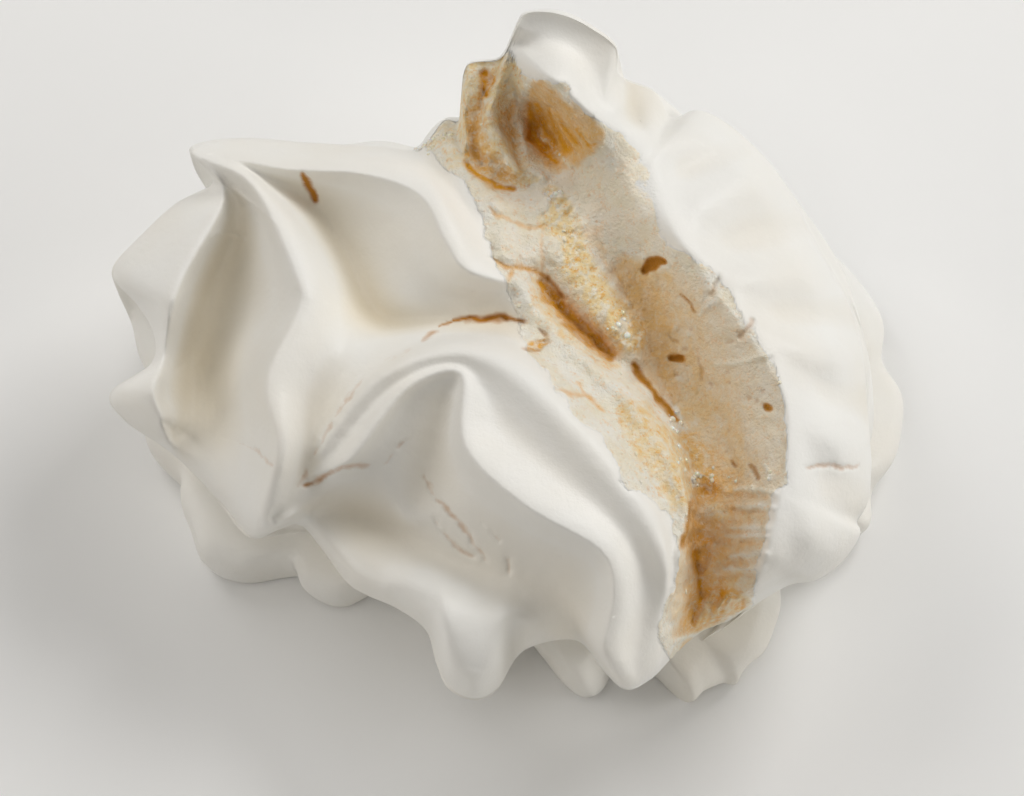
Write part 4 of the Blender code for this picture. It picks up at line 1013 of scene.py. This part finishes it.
# loose bits on the broken inside: sizes in metres, density by the square metre
looseBits = {
    "crumbs": {"Zone": "crumbZone", "Density": 260000, "Smallest": 0.00012, "Largest": 0.00042,
               "Lumpiness": 0.9, "Sink": 0.25, "Detail": 2, "Seed": 5},
    "syrupBeads": {"Zone": "beadZone", "Density": 1800000, "Smallest": 0.00012, "Largest": 0.00055,
                   "Lumpiness": 0.35, "Sink": 0.35, "Detail": 2, "Seed": 8},
}


def scatterTree():
    # small lumpy balls on a surface, as many as its zone attribute allows
    tree, source, target = newTree("looseBits", [
        ("Density", "NodeSocketFloat", 100000.0), ("Smallest", "NodeSocketFloat", 0.0002),
        ("Largest", "NodeSocketFloat", 0.0005), ("Lumpiness", "NodeSocketFloat", 0.5),
        ("Sink", "NodeSocketFloat", 0.3), ("Detail", "NodeSocketInt", 2), ("Seed", "NodeSocketInt", 1),
        ("Zone", "NodeSocketString", "zone"), ("Finish", "NodeSocketMaterial", None)])
    kindCount, fullTurn = 5, 6.283
    pick = source.outputs
    many = times(tree, attributeOf(tree, pick["Zone"]), pick["Density"])
    spread = addNode(tree, "GeometryNodeDistributePointsOnFaces", {"Mesh": pick["Geometry"], "Density": many,
                                                                   "Seed": pick["Seed"]})
    ball = addNode(tree, "GeometryNodeMeshIcoSphere", {"Radius": 1.0, "Subdivisions": pick["Detail"]})
    place = addNode(tree, "GeometryNodeInputPosition").outputs[0]
    kinds = addNode(tree, "GeometryNodeJoinGeometry")
    for k in range(kindCount):
        lump = addNode(tree, "ShaderNodeTexNoise", {"Scale": 0.9, "Detail": 1.0, "W": 3.7 * k,
                                                    "Vector": place}, noise_dimensions="4D")
        away = calc(tree, "SUBTRACT", lump.outputs["Fac"], 0.5)
        grow = times(tree, times(tree, away, 2.2), pick["Lumpiness"])
        shape = addNode(tree, "GeometryNodeSetPosition", {"Geometry": ball.outputs["Mesh"],
                                                          "Offset": scaled(tree, place, grow)})
        single = addNode(tree, "GeometryNodeGeometryToInstance", {"Geometry": shape.outputs[0]})
        tree.links.new(single.outputs[0], kinds.inputs[0])
    size = addNode(tree, "FunctionNodeRandomValue", {2: pick["Smallest"], 3: pick["Largest"],
                                                     "Seed": pick["Seed"]}, data_type="FLOAT").outputs[1]
    turn = addNode(tree, "FunctionNodeRandomValue", {1: (fullTurn, fullTurn, fullTurn), "Seed": pick["Seed"]},
                   data_type="FLOAT_VECTOR").outputs[0]
    kind = addNode(tree, "FunctionNodeRandomValue", {4: 0, 5: kindCount - 1, "Seed": pick["Seed"]},
                   data_type="INT").outputs[2]
    lower = scaled(tree, spread.outputs["Normal"], times(tree, times(tree, size, pick["Sink"]), -1.0))
    sunk = addNode(tree, "GeometryNodeSetPosition", {"Geometry": spread.outputs["Points"], "Offset": lower})
    bits = addNode(tree, "GeometryNodeInstanceOnPoints", {
        "Points": sunk.outputs[0], "Instance": kinds.outputs[0], "Pick Instance": True,
        "Instance Index": kind, "Rotation": turn, "Scale": size})
    endTree(tree, bits.outputs[0], source, target)
    return tree


def scatterBits(name, tree, finish):
    obj = bpy.data.objects.new(name, meringue.data.copy())
    bpy.context.scene.collection.objects.link(obj)
    modifier = obj.modifiers.new(name, "NODES")
    modifier.node_group = tree
    for label, value in looseBits[name].items():
        setInput(modifier, label, value)
    setInput(modifier, "Finish", finish)
    mesh = toPlainMesh(obj, name)
    mesh.shade_smooth()
    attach(obj, "root")
    print(name, len(mesh.polygons), "faces")


bitTree = scatterTree()
scatterBits("crumbs", bitTree, bitMaterial("looseCrumb"))
scatterBits("syrupBeads", bitTree, bitMaterial("driedSyrup"))

# camera, lamps and floor, in metres
studio = {
    "distance": 0.80, "lens": 206.0, "look": (0.0, 0.0, 0.022), "nearest": 0.05,
    "skyColour": (1.0, 0.97, 0.92, 1), "sky": 0.04,
    "floorColour": (0.88, 0.88, 0.87, 1), "floorRoughness": 0.6, "floorWidth": 6, "floorGap": 0.0002,
    # each lamp: degrees round from behind, towards the right; degrees up; power; size; colour
    "lamps": {"key": (45, 45, 4.6, 0.45, (1, 0.99, 0.98)), "right": (95, 22, 3.0, 0.5, (1, 0.99, 0.97)),
              "backLeft": (315, 45, 2.5, 0.5, (1, 0.99, 0.98)), "left": (268, 24, 2.0, 0.6, (1, 0.95, 0.89)),
              "front": (180, 24, 1.3, 0.7, (1, 0.95, 0.89)), "top": (215, 72, 1.25, 0.5, (1, 0.99, 0.97))},
}


def aimLamp(name, turn, rise, power, size, colour):
    turn, rise = math.radians(turn), math.radians(rise)
    place = Vector((math.cos(rise) * math.sin(turn), math.cos(rise) * math.cos(turn), math.sin(rise)))
    lamp = bpy.data.objects.new(name, bpy.data.lights.new(name, "AREA"))
    bpy.context.scene.collection.objects.link(lamp)
    lamp.data.energy, lamp.data.size, lamp.data.color = power, size, colour
    lamp.location = place
    lamp.rotation_euler = (-place).to_track_quat("-Z", "Y").to_euler()


def addCamera():
    target = Vector(studio["look"])
    camera = bpy.data.objects.new("camera", bpy.data.cameras.new("camera"))
    bpy.context.scene.collection.objects.link(camera)
    camera.location = target + Vector(outward) * studio["distance"]
    camera.rotation_euler = (target - camera.location).to_track_quat("-Z", "Y").to_euler()
    camera.data.lens = studio["lens"]
    camera.data.clip_start = studio["nearest"]
    bpy.context.scene.camera = camera


def addSky():
    world = bpy.data.worlds.new("studio")
    bpy.context.scene.world = world
    world.use_nodes = True
    background = world.node_tree.nodes["Background"]
    background.inputs["Color"].default_value = studio["skyColour"]
    background.inputs["Strength"].default_value = studio["sky"]


def addFloor(height):
    bpy.ops.mesh.primitive_plane_add(size=studio["floorWidth"], location=(0, 0, height))
    floor = bpy.context.object
    floor.name = "floor"
    material, tree, shader = newMaterial("paleFloor")
    shader.inputs["Base Color"].default_value = studio["floorColour"]
    shader.inputs["Roughness"].default_value = studio["floorRoughness"]
    floor.data.materials.append(material)
    floor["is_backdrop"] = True


addCamera()
addSky()
for lampName, lampValues in studio["lamps"].items():
    aimLamp(lampName, *lampValues)
addFloor(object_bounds()[0].z - studio["floorGap"])
bpy.context.scene.view_settings.view_transform = "Standard"
print("studio ready")

low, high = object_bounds()
